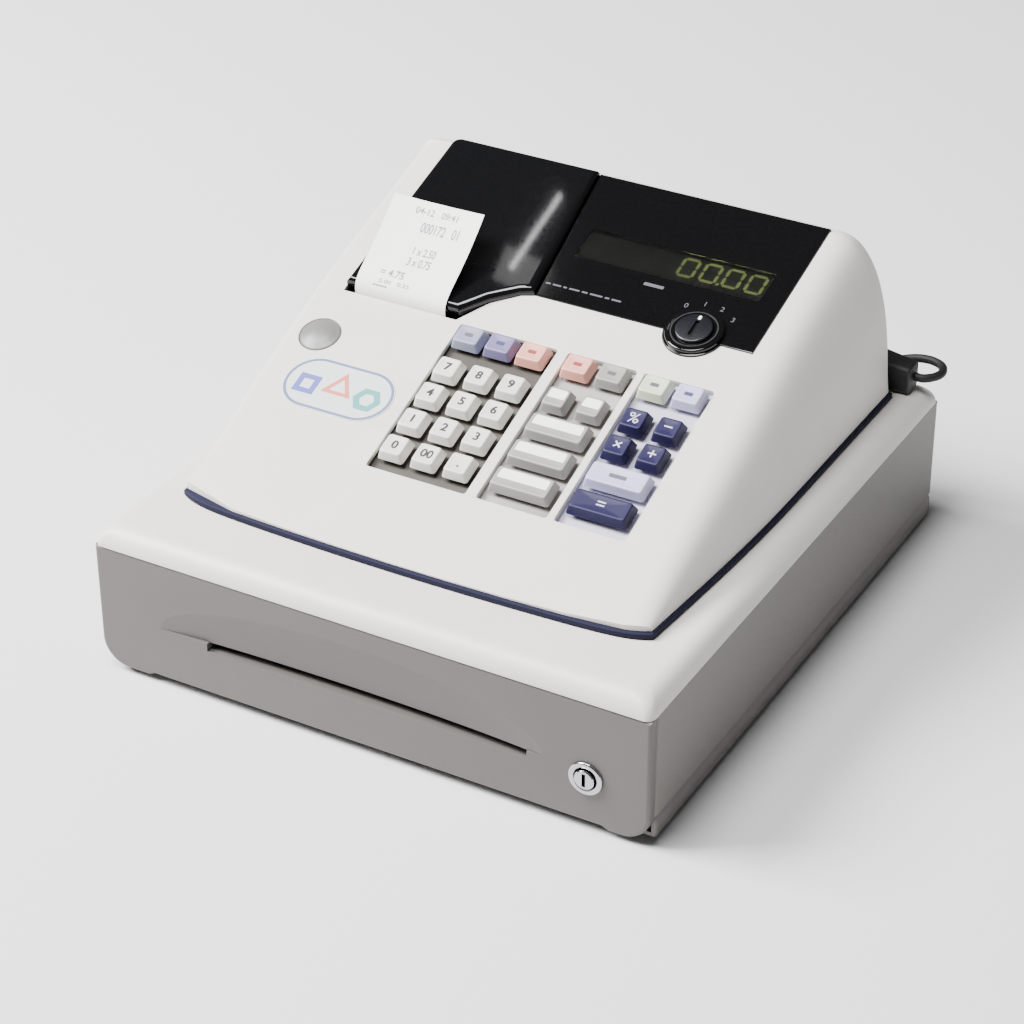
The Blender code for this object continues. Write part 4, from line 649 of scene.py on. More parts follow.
def aimed(start: Point, axis: Point) -> Matrix:
    """Frame at a start, with its Z along an axis."""
    turn = Vector((0.0, 0.0, 1.0)).rotation_difference(Vector(axis).normalized())
    return Matrix.Translation(Vector(start)) @ turn.to_matrix().to_4x4()


def turned(profile: Outline, place: Matrix, steps: int = FINE_ROUND) -> Mesh:
    """Turn a profile of (radius, height) pairs round the Z of a frame with the Screw modifier.

    Args:
        profile: The profile, closed where it starts and ends on the axis or on one point.
        place: Frame of the axis.
        steps: Steps round.

    Returns:
        A closed mesh.
    """
    line = bpy.data.meshes.new("line")
    edges = [(index, index + 1) for index in range(len(profile) - 1)]
    line.from_pydata([(radius, 0.0, height) for radius, height in profile], edges, [])
    item = linked("turned", line)
    turn = item.modifiers.new("turn", "SCREW")
    turn.steps = turn.render_steps = steps
    turn.use_merge_vertices = True
    turn.merge_threshold = MERGE
    return moved(merged([evaluated(item)], "turned", MERGE), place)


def drum(radius: float, low: float, high: float, place: Matrix, steps: int = FINE_ROUND) -> Mesh:
    """A round cutter between two heights of a frame."""
    return turned([(0.0, low), (radius, low), (radius, high), (0.0, high)], place, steps)


def carve(mesh: Mesh, cut: list[Mesh], add: list[Mesh] | None = None) -> Mesh:
    """Join meshes on to a mesh, then cut others out of it, with exact Booleans.

    Args:
        mesh: What is cut.
        cut: What is cut out.
        add: What is joined on first.

    Returns:
        The plain result.
    """
    target = linked("carved", mesh)
    tools = []
    for operation, meshes in (("UNION", add or []), ("DIFFERENCE", cut)):
        for tool_mesh in meshes:
            tools.append(linked("tool", tool_mesh))
            step = target.modifiers.new("cut", "BOOLEAN")
            step.operation = operation
            step.solver = "EXACT"
            step.object = tools[-1]
    result = evaluated(target)
    for tool in tools:
        bpy.data.objects.remove(tool, do_unlink=True)
    return result


def lettering(text: str, size: float, place: Matrix, depth: float = PRINT_LIFT, bold: float = 0.0) -> Mesh:
    """Generic figures or signs as a thin mesh, centred on a frame.

    Args:
        text: The figures.
        size: Letter size.
        place: Frame to centre them on.
        depth: How far they stand out.
        bold: How much each stroke grows, as a share of the size.

    Returns:
        The mesh.
    """
    curve = bpy.data.curves.new("figures", "FONT")
    curve.body = text
    curve.size = size
    curve.align_x = curve.align_y = "CENTER"
    curve.extrude = depth
    curve.offset = size * bold
    return moved(evaluated(linked("figures", curve)), place)


def welded(node: str) -> Mesh:
    """A merged copy of a CAD node's mesh, with its flat faces in one piece each.

    Args:
        node: The node's name.

    Returns:
        The mesh.
    """
    shape = bmesh.new()
    shape.from_mesh(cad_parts[node].data)
    bmesh.ops.remove_doubles(shape, verts=shape.verts[:], dist=MERGE)
    bmesh.ops.dissolve_limit(shape, angle_limit=math.radians(0.5), verts=shape.verts[:], edges=shape.edges[:])
    return mesh_from(shape, node)


def softened(mesh: Mesh, width: float, segments: int = 2, angle_deg: float = 50.0) -> Mesh:
    """Round a mesh's edges with the Bevel modifier.

    Args:
        mesh: The mesh.
        width: Bevel width.
        segments: Bevel segments.
        angle_deg: Edges sharper than this are rounded.

    Returns:
        The plain result.
    """
    item = linked("soft", mesh)
    step = item.modifiers.new("edges", "BEVEL")
    step.width = width
    step.segments = segments
    step.limit_method = "ANGLE"
    step.angle_limit = math.radians(angle_deg)
    step.harden_normals = False
    return evaluated(item)


def piece(name: str, mesh: Mesh, finish: str, body: str, nodes: tuple[str, ...] = (),
          angle: float = SMOOTH_ANGLE) -> Item:
    """Make a finished piece of a mesh that already lies in its place.

    Args:
        name: The piece's name.
        mesh: Its plain mesh.
        finish: Name of its finish.
        body: The CAD body it rides on.
        nodes: CAD nodes it stands for.
        angle: Edges sharper than this stay sharp.

    Returns:
        The object.
    """
    item = linked(name, mesh)
    mesh.materials.clear()
    mesh.materials.append(FINISHES[finish].build())
    mesh.shade_smooth()
    mesh.set_sharp_from_angle(angle=angle)
    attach(item, body)
    if nodes:
        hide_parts(*nodes)
    LOG.info("%s on %s", name, body)
    return item


# Geometry Nodes
class NodeTool:
    """A Geometry Nodes tree with named inputs that ends in real geometry with a finish."""

    def __init__(self, name: str, inputs: dict[str, str], finish: str) -> None:
        """Start the tree.

        Args:
            name: The tree's name.
            inputs: Kind of each input, by its name.
            finish: Name of the finish.
        """
        self.tree = bpy.data.node_groups.new(name, "GeometryNodeTree")
        face = self.tree.interface
        face.new_socket("Geometry", in_out="OUTPUT", socket_type="NodeSocketGeometry")
        self.sockets = {key: face.new_socket(key, in_out="INPUT", socket_type="NodeSocket" + kind).identifier
                        for key, kind in inputs.items()}
        self.given = add_node(self.tree, "NodeGroupInput").outputs
        self.material = FINISHES[finish].build()

    def end(self, shape: Socket) -> None:
        """Make the geometry real, give it its finish and lead it out.

        Args:
            shape: The geometry.
        """
        real = add_node(self.tree, "GeometryNodeRealizeInstances", {"Geometry": shape})
        done = add_node(self.tree, "GeometryNodeSetMaterial", {"Geometry": real.outputs[0], "Material": self.material})
        add_node(self.tree, "NodeGroupOutput", {"Geometry": done.outputs[0]})

    def run(self, data: bpy.types.ID, values: dict) -> Mesh:
        """Run the tree on some data.

        Args:
            data: A mesh or a curve.
            values: Value of each input, by its name.

        Returns:
            The plain mesh.
        """
        item = linked("run", data)
        step = item.modifiers.new("tree", "NODES")
        step.node_group = self.tree
        for name, value in values.items():
            step[self.sockets[name]] = value
        return evaluated(item)


class RepeatKind(Enum):
    """How a repeated form is laid out."""

    RING = "ring"
    ROW = "row"


class Repeater(NodeTool):
    """A node tree that lays small blocks in a ring or a row."""

    def __init__(self, kind: RepeatKind, finish: str) -> None:
        """Build the tree.

        Args:
            kind: Ring or row.
            finish: Name of the blocks' finish.
        """
        super().__init__("repeat_" + kind.value, {"Count": "Int", "Reach": "Float", "Block": "Vector"}, finish)
        count, reach = self.given["Count"], self.given["Reach"]
        block = add_node(self.tree, "GeometryNodeMeshCube", {"Size": self.given["Block"]})
        inputs = {"Instance": block.outputs["Mesh"]}
        if kind is RepeatKind.RING:
            circle = add_node(self.tree, "GeometryNodeCurvePrimitiveCircle", {"Radius": reach}, mode="RADIUS")
            spread = {"Curve": circle.outputs["Curve"], "Count": count}
            points = add_node(self.tree, "GeometryNodeCurveToPoints", spread, mode="COUNT").outputs
            inputs |= {"Points": points["Points"], "Rotation": points["Rotation"]}
        else:
            end = add_node(self.tree, "ShaderNodeCombineXYZ", {"X": reach})
            line = add_node(self.tree, "GeometryNodeMeshLine", {"Count": count, "Offset": end.outputs[0]},
                            mode="END_POINTS")
            inputs["Points"] = line.outputs["Mesh"]
        self.end(add_node(self.tree, "GeometryNodeInstanceOnPoints", inputs).outputs["Instances"])

    def mesh(self, count: int, reach: float, block: Point, place: Matrix) -> Mesh:
        """Lay a count of blocks of a size along a reach in a frame."""
        values = {"Count": count, "Reach": reach, "Block": block}
        return moved(self.run(bpy.data.meshes.new("repeat"), values), place)


class PathTube(NodeTool):
    """A node tree that sweeps a round section along a curve."""

    def __init__(self, finish: str) -> None:
        """Build the tree.

        Args:
            finish: Name of the tube's finish.
        """
        super().__init__("path_tube", {"Geometry": "Geometry", "Radius": "Float", "Sides": "Int"}, finish)
        ring = add_node(self.tree, "GeometryNodeCurvePrimitiveCircle",
                        {"Radius": self.given["Radius"], "Resolution": self.given["Sides"]}, mode="RADIUS")
        inputs = {"Curve": self.given["Geometry"], "Profile Curve": ring.outputs["Curve"], "Fill Caps": True}
        self.end(add_node(self.tree, "GeometryNodeCurveToMesh", inputs).outputs["Mesh"])

    def mesh(self, points: list[Vector], radius: float, sides: int) -> Mesh:
        """Sweep the section along points.

        Args:
            points: The path.
            radius: Radius of the tube.
            sides: Sides of the section.

        Returns:
            The plain closed mesh.
        """
        curve = bpy.data.curves.new("path", "CURVE")
        curve.dimensions = "3D"
        spline = curve.splines.new("POLY")
        spline.points.add(len(points) - 1)
        for point, place in zip(spline.points, points):
            point.co = (*place, 1.0)
        return merged([self.run(curve, {"Radius": radius, "Sides": sides})], "tube", MERGE)


def smooth_path(points: list[Point], steps: int) -> list[Vector]:
    """Points on a smooth curve through the given points.

    Args:
        points: The given points.
        steps: Steps from each to the next.

    Returns:
        The finer points.
    """
    ends = [Vector(point) for point in points]
    padded = [ends[0] * 2 - ends[1]] + ends + [ends[-1] * 2 - ends[-2]]
    result = []
    for a, b, c, d in zip(padded, padded[1:], padded[2:], padded[3:]):
        for t in (step / steps for step in range(steps)):
            bend = (a * 2 - b * 5 + c * 4 - d) * t ** 2 + (b * 3 - a - c * 3 + d) * t ** 3
            result.append((b * 2 + (c - a) * t + bend) / 2)
    return result + [padded[-2]]


def path_length(points: list[Vector]) -> float:
    """Length of a line through points."""
    return sum((after - before).length for before, after in zip(points, points[1:]))


@dataclass
class Slopes:
    """Frames of the keyboard deck and of the black panel."""

    deck_y: float = -0.135
    deck_z: float = 0.095
    deck_deg: float = 20.0
    foot_y: float = 0.043
    panel_deg: float = 17.5

    @property
    def foot_z(self) -> float:
        """Height of the panel's foot."""
        return self.deck_z + (self.foot_y - self.deck_y) * math.tan(math.radians(self.deck_deg))

    @property
    def deck(self) -> Matrix:
        """Frame of the deck."""
        turn = Matrix.Rotation(math.radians(self.deck_deg), 4, "X")
        return Matrix.Translation((0.0, self.deck_y, self.deck_z)) @ turn

    @property
    def panel(self) -> Matrix:
        """Frame of the panel."""
        turn = Matrix.Rotation(math.radians(self.panel_deg), 4, "X")
        return Matrix.Translation((0.0, self.foot_y, self.foot_z)) @ turn

    def up(self, y: float) -> float:
        """Distance up the panel's slope of a point at Y."""
        return (y - self.foot_y) / math.cos(math.radians(self.panel_deg))

    def height(self, y: float) -> float:
        """Height of the deck, or of the panel behind it.

        Args:
            y: Where along Y.

        Returns:
            The height.
        """
        if y <= self.foot_y:
            return self.deck_z + (y - self.deck_y) * math.tan(math.radians(self.deck_deg))
        return self.foot_z + (y - self.foot_y) * math.tan(math.radians(self.panel_deg))


SLOPES = Slopes()


# Drawer cabinet
@dataclass
class Cabinet:
    """Steel housing, cream cover with round shoulders, and rubber feet."""

    half: float = 0.165
    front: float = -0.179
    rear: float = 0.179
    pan_front: float = -0.1715
    foot: float = 0.003
    seam: float = 0.077
    ledge: float = 0.0885
    wall: float = 0.0025
    shoulder: float = 0.011
    shoulder_steps: int = 12
    corner: float = 0.005
    corner_growth: float = 0.004
    corner_steps: int = 8
    pan_corner: float = 0.002
    # Heights where it starts, is deepest and ends
    groove: Point = (0.0130, 0.0152, 0.0162)
    groove_depth: float = 0.0010
    # Left, front, right, rear
    works_hole: tuple[float, float, float, float] = (-0.030, -0.095, 0.112, 0.130)
    # Height, thickness, width
    rail: Point = (0.026, 0.003, 0.011)
    rail_inset: float = 0.006

    def cover_levels(self, wall: float) -> list[tuple[Outline, float]]:
        """Levels of the cover's skin, or of its hollow.

        Args:
            wall: Zero for the skin, else the wall's thickness.

        Returns:
            Outline and height of each level.
        """
        steps = [(wall, self.seam + FIT_GAP - (OVERRUN if wall else 0.0))]
        steps += [(wall + inset, self.ledge - wall - drop)
                  for inset, drop in quarter(self.shoulder - wall, self.shoulder_steps)]
        levels = []
        for inset, height in steps:
            corner = self.corner + self.corner_growth * inset / self.shoulder
            outline = rounded(-self.half + inset, self.front + inset, self.half - inset, self.rear - inset, corner,
                              self.corner_steps)
            levels.append((outline, height))
        return levels

    def build_cover(self) -> None:
        """Cream cover with the hole for the works."""
        left, front, right, rear = self.works_hole
        hole = box((left, front, self.seam), (right, rear, self.ledge + OVERRUN))
        mesh = carve(slab(self.cover_levels(0.0)), [slab(self.cover_levels(self.wall)), hole])
        piece("cabinet_cover", mesh, "cream_abs", "cabinet", ("base_top_cover",))

    def build_pan(self) -> None:
        """Grey housing with a groove above its foot and the rails inside."""
        outer = rounded(-self.half, self.pan_front, self.half, self.rear, self.pan_corner, self.corner_steps)
        edge = self.groove_depth / 4
        bevel = grow(outer, -edge)
        start, deep, end = self.groove
        levels = [(bevel, self.foot), (outer, self.foot + edge), (outer, start - edge), (bevel, start + edge),
                  (grow(outer, -self.groove_depth), deep), (bevel, end - edge / 2), (outer, end + edge / 2),
                  (outer, self.seam)]
        inside = self.half - self.wall
        hollow = box((-inside, self.pan_front - OVERRUN, self.foot + self.wall),
                     (inside, self.rear - self.wall, self.seam + OVERRUN))
        height, thick, width = self.rail
        rails = []
        for side in (-1, 1):
            left, right = sorted((side * (inside + FIT_GAP), side * (inside - width)))
            rails.append(box((left, self.pan_front + self.rail_inset, height),
                             (right, self.rear - self.wall - self.rail_inset, height + thick)))
        mesh = carve(carve(slab(levels), [hollow]), [], rails)
        piece("cabinet_housing", mesh, "grey_powder_coat", "cabinet", ("base_pan",))

    def build_feet(self) -> None:
        """Rubber feet with a domed edge."""
        for number in range(1, 5):
            node = "foot_%d" % number
            low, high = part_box("foot_%d" % number)
            middle = (low + high) / 2
            radius = (high[0] - low[0]) / 2
            rim = radius / 9
            profile = [(0.0, high[2]), (radius, high[2]), *arc(radius - rim, low[2] + rim, rim, 0, -90, 4),
                       (0.0, low[2])]
            mesh = turned(profile, Matrix.Translation((middle[0], middle[1], 0.0)), ROUND)
            piece("rubber_" + node, mesh, "black_pvc", "cabinet", (node,))

    def build(self) -> None:
        """Build every piece."""
        self.build_cover()
        self.build_pan()
        self.build_feet()


@dataclass
class Drawer:
    """Cash drawer: moulded front, lock, steel tray, till insert and note clips."""

    half: float = 0.165
    front: float = -0.179
    thickness: float = 0.0055
    back: float = 0.0050
    back_half: float = 0.149
    back_low: float = 0.009
    back_high: float = 0.070
    low: float = 0.003
    top: float = 0.077
    corner: float = 0.016
    corner_steps: int = 14
    edge: float = 0.0022
    edge_steps: int = 14
    crease_deg: float = 7.0
    rise: float = 0.0018
    rise_left: float = -0.132
    rise_right: float = 0.138
    rise_slope: float = 0.004
    slot_half: float = 0.096
    slot_top: float = 0.0365
    slot_height: float = 0.0046
    scoop_x: float = -0.010
    scoop_half: float = 0.132
    scoop_rise: float = 0.032
    scoop_round: float = 0.0085
    scoop_depth: float = 0.0044
    scoop_steps: tuple[int, int] = (96, 32)
    lock: tuple[float, float] = (0.1297, 0.0323)
    flange: float = 0.0095
    flange_proud: float = 0.0019
    lip: float = 0.0008
    lip_steps: int = 14
    sleeve: float = 0.0082
    sleeve_length: float = 0.016
    bore: float = 0.0064
    barrel: float = 0.0056
    barrel_proud: float = 0.0010
    barrel_length: float = 0.0197
    # Width, height, depth
    keyway: Point = (0.0020, 0.0078, 0.006)
    # Width, length, thickness
    cam: Point = (0.007, 0.016, 0.002)
    insert_sharp_deg: float = 50.0
    clip_round: float = 0.0004

    def outline(self) -> Outline:
        """Outline of the front in X and Z.

        Returns:
            The outline.
        """
        raised = self.low + self.rise
        across, up = self.half - self.corner, self.low + self.corner
        return [(self.rise_right + self.rise_slope, self.low),
                *arc(across, up, self.corner, -90, 0, self.corner_steps), (self.half, self.top), (-self.half, self.top),
                *arc(-across, up, self.corner, 180, 270, self.corner_steps),
                (self.rise_left - self.rise_slope, self.low), (self.rise_left, raised), (self.rise_right, raised)]

    def scoop(self) -> Mesh:
        """Upper half of a flattened ball, closed flat below.

        Returns:
            The cutter.
        """
        shape = bmesh.new()
        bmesh.ops.create_uvsphere(shape, u_segments=self.scoop_steps[0], v_segments=self.scoop_steps[1], radius=1.0)
        bmesh.ops.scale(shape, vec=(self.scoop_half, self.scoop_round, self.scoop_rise), verts=shape.verts[:])
        everything = shape.verts[:] + shape.edges[:] + shape.faces[:]
        bmesh.ops.bisect_plane(shape, geom=everything, plane_co=(0, 0, 0), plane_no=(0, 0, 1), clear_inner=True)
        bmesh.ops.holes_fill(shape, edges=shape.edges[:], sides=0)
        offset = (self.scoop_x, self.front - self.scoop_round + self.scoop_depth, self.slot_top)
        bmesh.ops.translate(shape, vec=offset, verts=shape.verts[:])
        return mesh_from(shape, "scoop")

    def build_front(self) -> None:
        """Moulded front with the scoop, the slot and the hole for the lock."""
        outline = self.outline()
        deep = self.thickness
        rear = self.front + deep
        levels = [(outline, 0.0)]
        levels += [(grow(outline, -inset), deep - drop) for inset, drop in quarter(self.edge, self.edge_steps)]
        upright = Matrix.Translation((0.0, rear, 0.0)) @ Matrix.Rotation(math.pi / 2, 4, "X")
        block = box((-self.back_half, rear - self.edge, self.back_low),
                    (self.back_half, rear + self.back, self.back_high))
        slot = box((-self.slot_half, self.front - OVERRUN, self.slot_top - self.slot_height),
                   (self.slot_half, rear + self.back + OVERRUN, self.slot_top))
        hole = drum(self.sleeve + FIT_GAP, 0.0, deep + self.back + OVERRUN * 2,
                    aimed((self.lock[0], self.front - OVERRUN, self.lock[1]), (0, 1, 0)), ROUND)
        mesh = carve(moved(slab(levels), upright), [self.scoop(), slot, hole], [block])
        piece("drawer_face", mesh, "warm_grey_abs", "drawer", ("drawer_front",),
              math.radians(self.crease_deg))

    def build_lock(self) -> None:
        """Chrome bezel with a domed rim, and the barrel with its keyway and cam."""
        x, z = self.lock
        outwards = aimed((x, self.front, z), (0, -1, 0))
        step = self.flange_proud - self.lip
        crest = (self.bore + self.flange) / 2
        dome = [(crest + across * (self.flange - crest), step + up * self.lip)
                for across, up in arc(0, 0, 1.0, 180, 0, self.lip_steps)]
        profile = [*dome, (self.flange, FIT_GAP), (self.sleeve, FIT_GAP), (self.sleeve, -self.sleeve_length),
                   (self.bore, -self.sleeve_length), (self.bore, step)]
        piece("lock_rim", turned(profile, outwards), "chrome_plate", "drawer", ("lock_bezel",))
        nose = self.flange_proud + self.barrel_proud
        round_off = self.barrel / 12
        profile = [(0.0, nose), (self.barrel - round_off, nose), (self.barrel, nose - round_off),
                   (self.barrel, nose - self.barrel_length), (0.0, nose - self.barrel_length)]
        front = self.front - nose
        width, height, depth = self.keyway
        keyway = box((x - width / 2, front - OVERRUN, z - height / 2), (x + width / 2, front + depth, z + height / 2))
        width, length, thickness = self.cam
        rear = front + self.barrel_length
        cam = box((x - width / 2, rear - FIT_GAP, z - self.barrel / 2), (x + width / 2, rear + thickness, z + length))
        mesh = carve(turned(profile, outwards), [keyway], [cam])
        piece("lock_plug", mesh, "chrome_plate", "lock", ("lock_barrel",))

    def build_inside(self) -> None:
        """Tray, till insert and clips, as welded copies, the clips with soft edges."""
        piece("cash_tray", welded("drawer_tray"), "galvanised_sheet", "drawer", ("drawer_tray",))
        piece("coin_and_note_insert", welded("till_insert"), "black_abs", "drawer", ("till_insert",),
              math.radians(self.insert_sharp_deg))
        for number in (1, 2, 3):
            node = "bill_clip_%d" % number
            mesh = softened(welded(node), self.clip_round)
            piece("note_clip_%d" % number, mesh, "black_abs", "clip_%d" % number, (node,))

    def build(self) -> None:
        """Build every piece."""
        self.build_front()
        self.build_lock()
        self.build_inside()


# Keyboard
class KeyStyle(Enum):
    """What a key carries on its top."""

    FIGURE = "figure"
    LABEL = "label"
    SIGN = "sign"
    MARK = "mark"


@dataclass(frozen=True)
class Key:
    """One key: its node, place on the deck, size, finish, and what it carries and in which finish."""

    name: str
    x: float
    s: float
    width: float
    depth: float
    finish: str
    style: KeyStyle
    ink: str
    text: str = ""


@dataclass
class Keyboard:
    """Deck plate, thirty keys in three fields, and the round feed key."""

    pitch: float = 0.0196
    size: float = 0.0155
    taper: float = 0.0014
    corner: float = 0.0016
    edge: float = 0.0009
    edge_steps: int = 4
    dish: float = 0.0006
    dish_shares: tuple[float, ...] = (0.85, 0.65, 0.40, 0.18)
    proud: float = 0.0045
    underside: float = -0.0010
    stem: float = 0.0042
    stem_length: float = 0.012
    number_x: float = -0.0410
    total_x: float = 0.0260
    total_pitch: float = 0.0205
    function_x: float = 0.0720
    function_pitch: float = 0.0200
    first_s: float = 0.0640
    top_s: float = 0.1475
    top_depth: float = 0.0150
    top_width: float = 0.0175
    margin: float = 0.0018
    front_margin: float = 0.0070
    well_corner: float = 0.0015
    figure_size: float = 0.0074
    sign_size: float = 0.0100
    label_inset: float = 1.9
    # Front and rear as shares of the key, of the label and of the mark below
    label_span: tuple[float, float] = (-0.08, 0.34)
    label_corner: float = 0.0006
    mark_reach: float = 0.14
    mark_span: tuple[float, float] = (-0.07, 0.09)
    mark_corner: float = 0.0005
    feed: tuple[float, float] = (-0.1240, 0.1243)
    feed_radius: float = 0.0118
    feed_gap: float = 0.0003
    feed_proud: float = 0.0026
    feed_height: float = 0.0085
    feed_rim: float = 0.12
    feed_crown: float = 0.20
    feed_steps: int = 6

    def wells(self) -> list[Outline]:
        """Outlines of the three key fields.

        Returns:
            One outline for each, from left to right.
        """
        side = self.top_width / 2 + self.margin
        front = self.first_s - self.size / 2 - self.front_margin
        rear = self.top_s + self.top_depth / 2 + self.margin
        spans = ((self.number_x, self.number_x + self.pitch * 2), (self.total_x, self.total_x + self.total_pitch),
                 (self.function_x, self.function_x + self.function_pitch))
        return [rounded(left - side, front, right + side, rear, self.well_corner, 5) for left, right in spans]

    def feed_hole(self) -> Outline:
        """Outline of the feed key's hole."""
        return arc(self.feed[0], self.feed[1], self.feed_radius + self.feed_gap, 0, 360, ROUND)[:-1]

    def keys(self) -> list[Key]:
        """Every key on the deck.

        Returns:
            The keys: figures, departments, wide function keys, signs, and the top row.
        """
        size = self.size
        rows = [self.first_s + self.pitch * row for row in range(4)]
        numbers = [self.number_x + self.pitch * column for column in range(3)]
        totals = [self.total_x + self.total_pitch * column for column in range(2)]
        functions = [self.function_x + self.function_pitch * column for column in range(2)]
        figures = (("zero", "0"), ("double_zero", "00"), ("point", "."), ("one", "1"), ("two", "2"), ("three", "3"),
                   ("four", "4"), ("five", "5"), ("six", "6"), ("seven", "7"), ("eight", "8"), ("nine", "9"))
        keys = [Key("key_" + word, numbers[place % 3], rows[place // 3], size, size, "key_off_white", KeyStyle.FIGURE,
                    "legend_dark_grey", figure) for place, (word, figure) in enumerate(figures)]
        middle, wide = sum(totals) / 2, self.total_pitch + size
        spots = [(middle, rows[0], wide), (middle, rows[1], wide), (middle, rows[2], wide), (totals[0], rows[3], size),
                 (totals[1], rows[3], size)]
        keys += [Key("key_department_%d" % number, x, s, width, size, "key_light_grey", KeyStyle.LABEL, "key_label")
                 for number, (x, s, width) in enumerate(spots, 1)]
        middle, wide = sum(functions) / 2, self.function_pitch + size
        keys.append(Key("key_cash_tender", middle, rows[0], wide, size, "key_navy", KeyStyle.SIGN, "legend_pale_grey",
                        "="))
        keys.append(Key("key_subtotal", middle, rows[1], wide, size, "key_lavender", KeyStyle.MARK, "print_grey"))
        keys += [Key("key_function_%d" % (place + 1), functions[place % 2], rows[2 + place // 2], size, size,
                     "key_navy", KeyStyle.SIGN, "legend_pale_grey", sign) for place, sign in enumerate("×+%−")]
        looks = (("slate", "print_grey"), ("mauve", "legend_violet"), ("coral", "legend_red"), ("coral", "legend_red"),
                 ("light_grey", "print_grey"), ("pale_green", "print_grey"), ("lavender", "legend_violet"))
        keys += [Key("key_top_%d" % number, x, self.top_s, self.top_width, self.top_depth, "key_" + finish,
                     KeyStyle.MARK, ink) for number, (x, (finish, ink)) in enumerate(
                         zip(numbers + totals + functions, looks), 1)]
        return keys

    def cap(self, key: Key) -> Mesh:
        """A key's cap and stem: tapered sides, a rounded edge and a dished top.

        Args:
            key: The key.

        Returns:
            The mesh.
        """
        stem = tablet(self.stem / 2, self.stem / 2, self.stem / 6)
        levels = [(stem, self.underside - self.stem_length), (stem, self.underside),
                  (tablet(key.width / 2, key.depth / 2, self.corner), self.underside)]
        top_x = key.width / 2 - self.taper
        top_y = key.depth / 2 - self.taper
        levels += [(tablet(top_x - inset, top_y - inset, self.corner), self.proud - drop)
                   for inset, drop in quarter(self.edge, self.edge_steps)]
        reach_x = top_x - self.edge
        reach_y = top_y - self.edge
        levels += [(tablet(reach_x * share, reach_y * share, self.corner * share),
                    self.proud - self.dish * (1 - share ** 2)) for share in self.dish_shares]
        return moved(slab(levels), SLOPES.deck @ Matrix.Translation((key.x, key.s, 0.0)))

    def legend(self, key: Key) -> Mesh:
        """What a key carries on its top.

        Args:
            key: The key.

        Returns:
            The mesh.
        """
        place = SLOPES.deck @ Matrix.Translation((key.x, key.s, self.proud - self.dish + PRINT_LIFT))
        if key.style is KeyStyle.FIGURE:
            return lettering(key.text, self.figure_size, place, self.dish / 2, BOLD)
        if key.style is KeyStyle.SIGN:
            return lettering(key.text, self.sign_size, place, self.dish / 3)
        if key.style is KeyStyle.LABEL:
            half_x = key.width / 2 - self.taper * self.label_inset
            low, high = (self.size * share for share in self.label_span)
            outline = rounded(-half_x, low, half_x, high, self.label_corner, 3)
            return moved(prism(outline, -self.dish, self.dish * 0.75), place)
        half_x = key.width * self.mark_reach
        low, high = (key.depth * share for share in self.mark_span)
        outline = rounded(-half_x, low, half_x, high, self.mark_corner, 3)
        return moved(prism(outline, -PRINT_LIFT, PRINT_LIFT * 2), place)

    def build_keys(self) -> None:
        """Every key with what it carries."""
        for key in self.keys():
            piece(key.name.replace("key_", "cap_"), self.cap(key), key.finish, key.name, (key.name,))
            piece(key.name.replace("key_", "legend_"), self.legend(key), key.ink, key.name, ())

    def build_feed_key(self) -> None:
        """Round feed key with a rounded rim and a domed top."""
        rim = self.feed_radius * self.feed_rim
        crown = self.feed_radius * self.feed_crown
        inner = self.feed_radius - rim
        shares = [step / self.feed_steps for step in range(self.feed_steps + 1)]
        low = self.feed_proud - self.feed_height
        profile = [*((inner * share, self.feed_proud - crown * share ** 2) for share in shares),
                   *arc(inner, self.feed_proud - crown - rim, rim, 90, 0, 4), (self.feed_radius, low), (0.0, low)]
        place = SLOPES.deck @ Matrix.Translation((*self.feed, 0.0))
        piece("feed_button", turned(profile, place), "key_mid_grey", "key_feed", ("key_feed",))

    def build(self) -> None:
        """Build every piece."""
        piece("key_field_plate", welded("key_deck"), "key_field_plate", "cabinet", ("key_deck",))
        self.build_keys()
        self.build_feed_key()


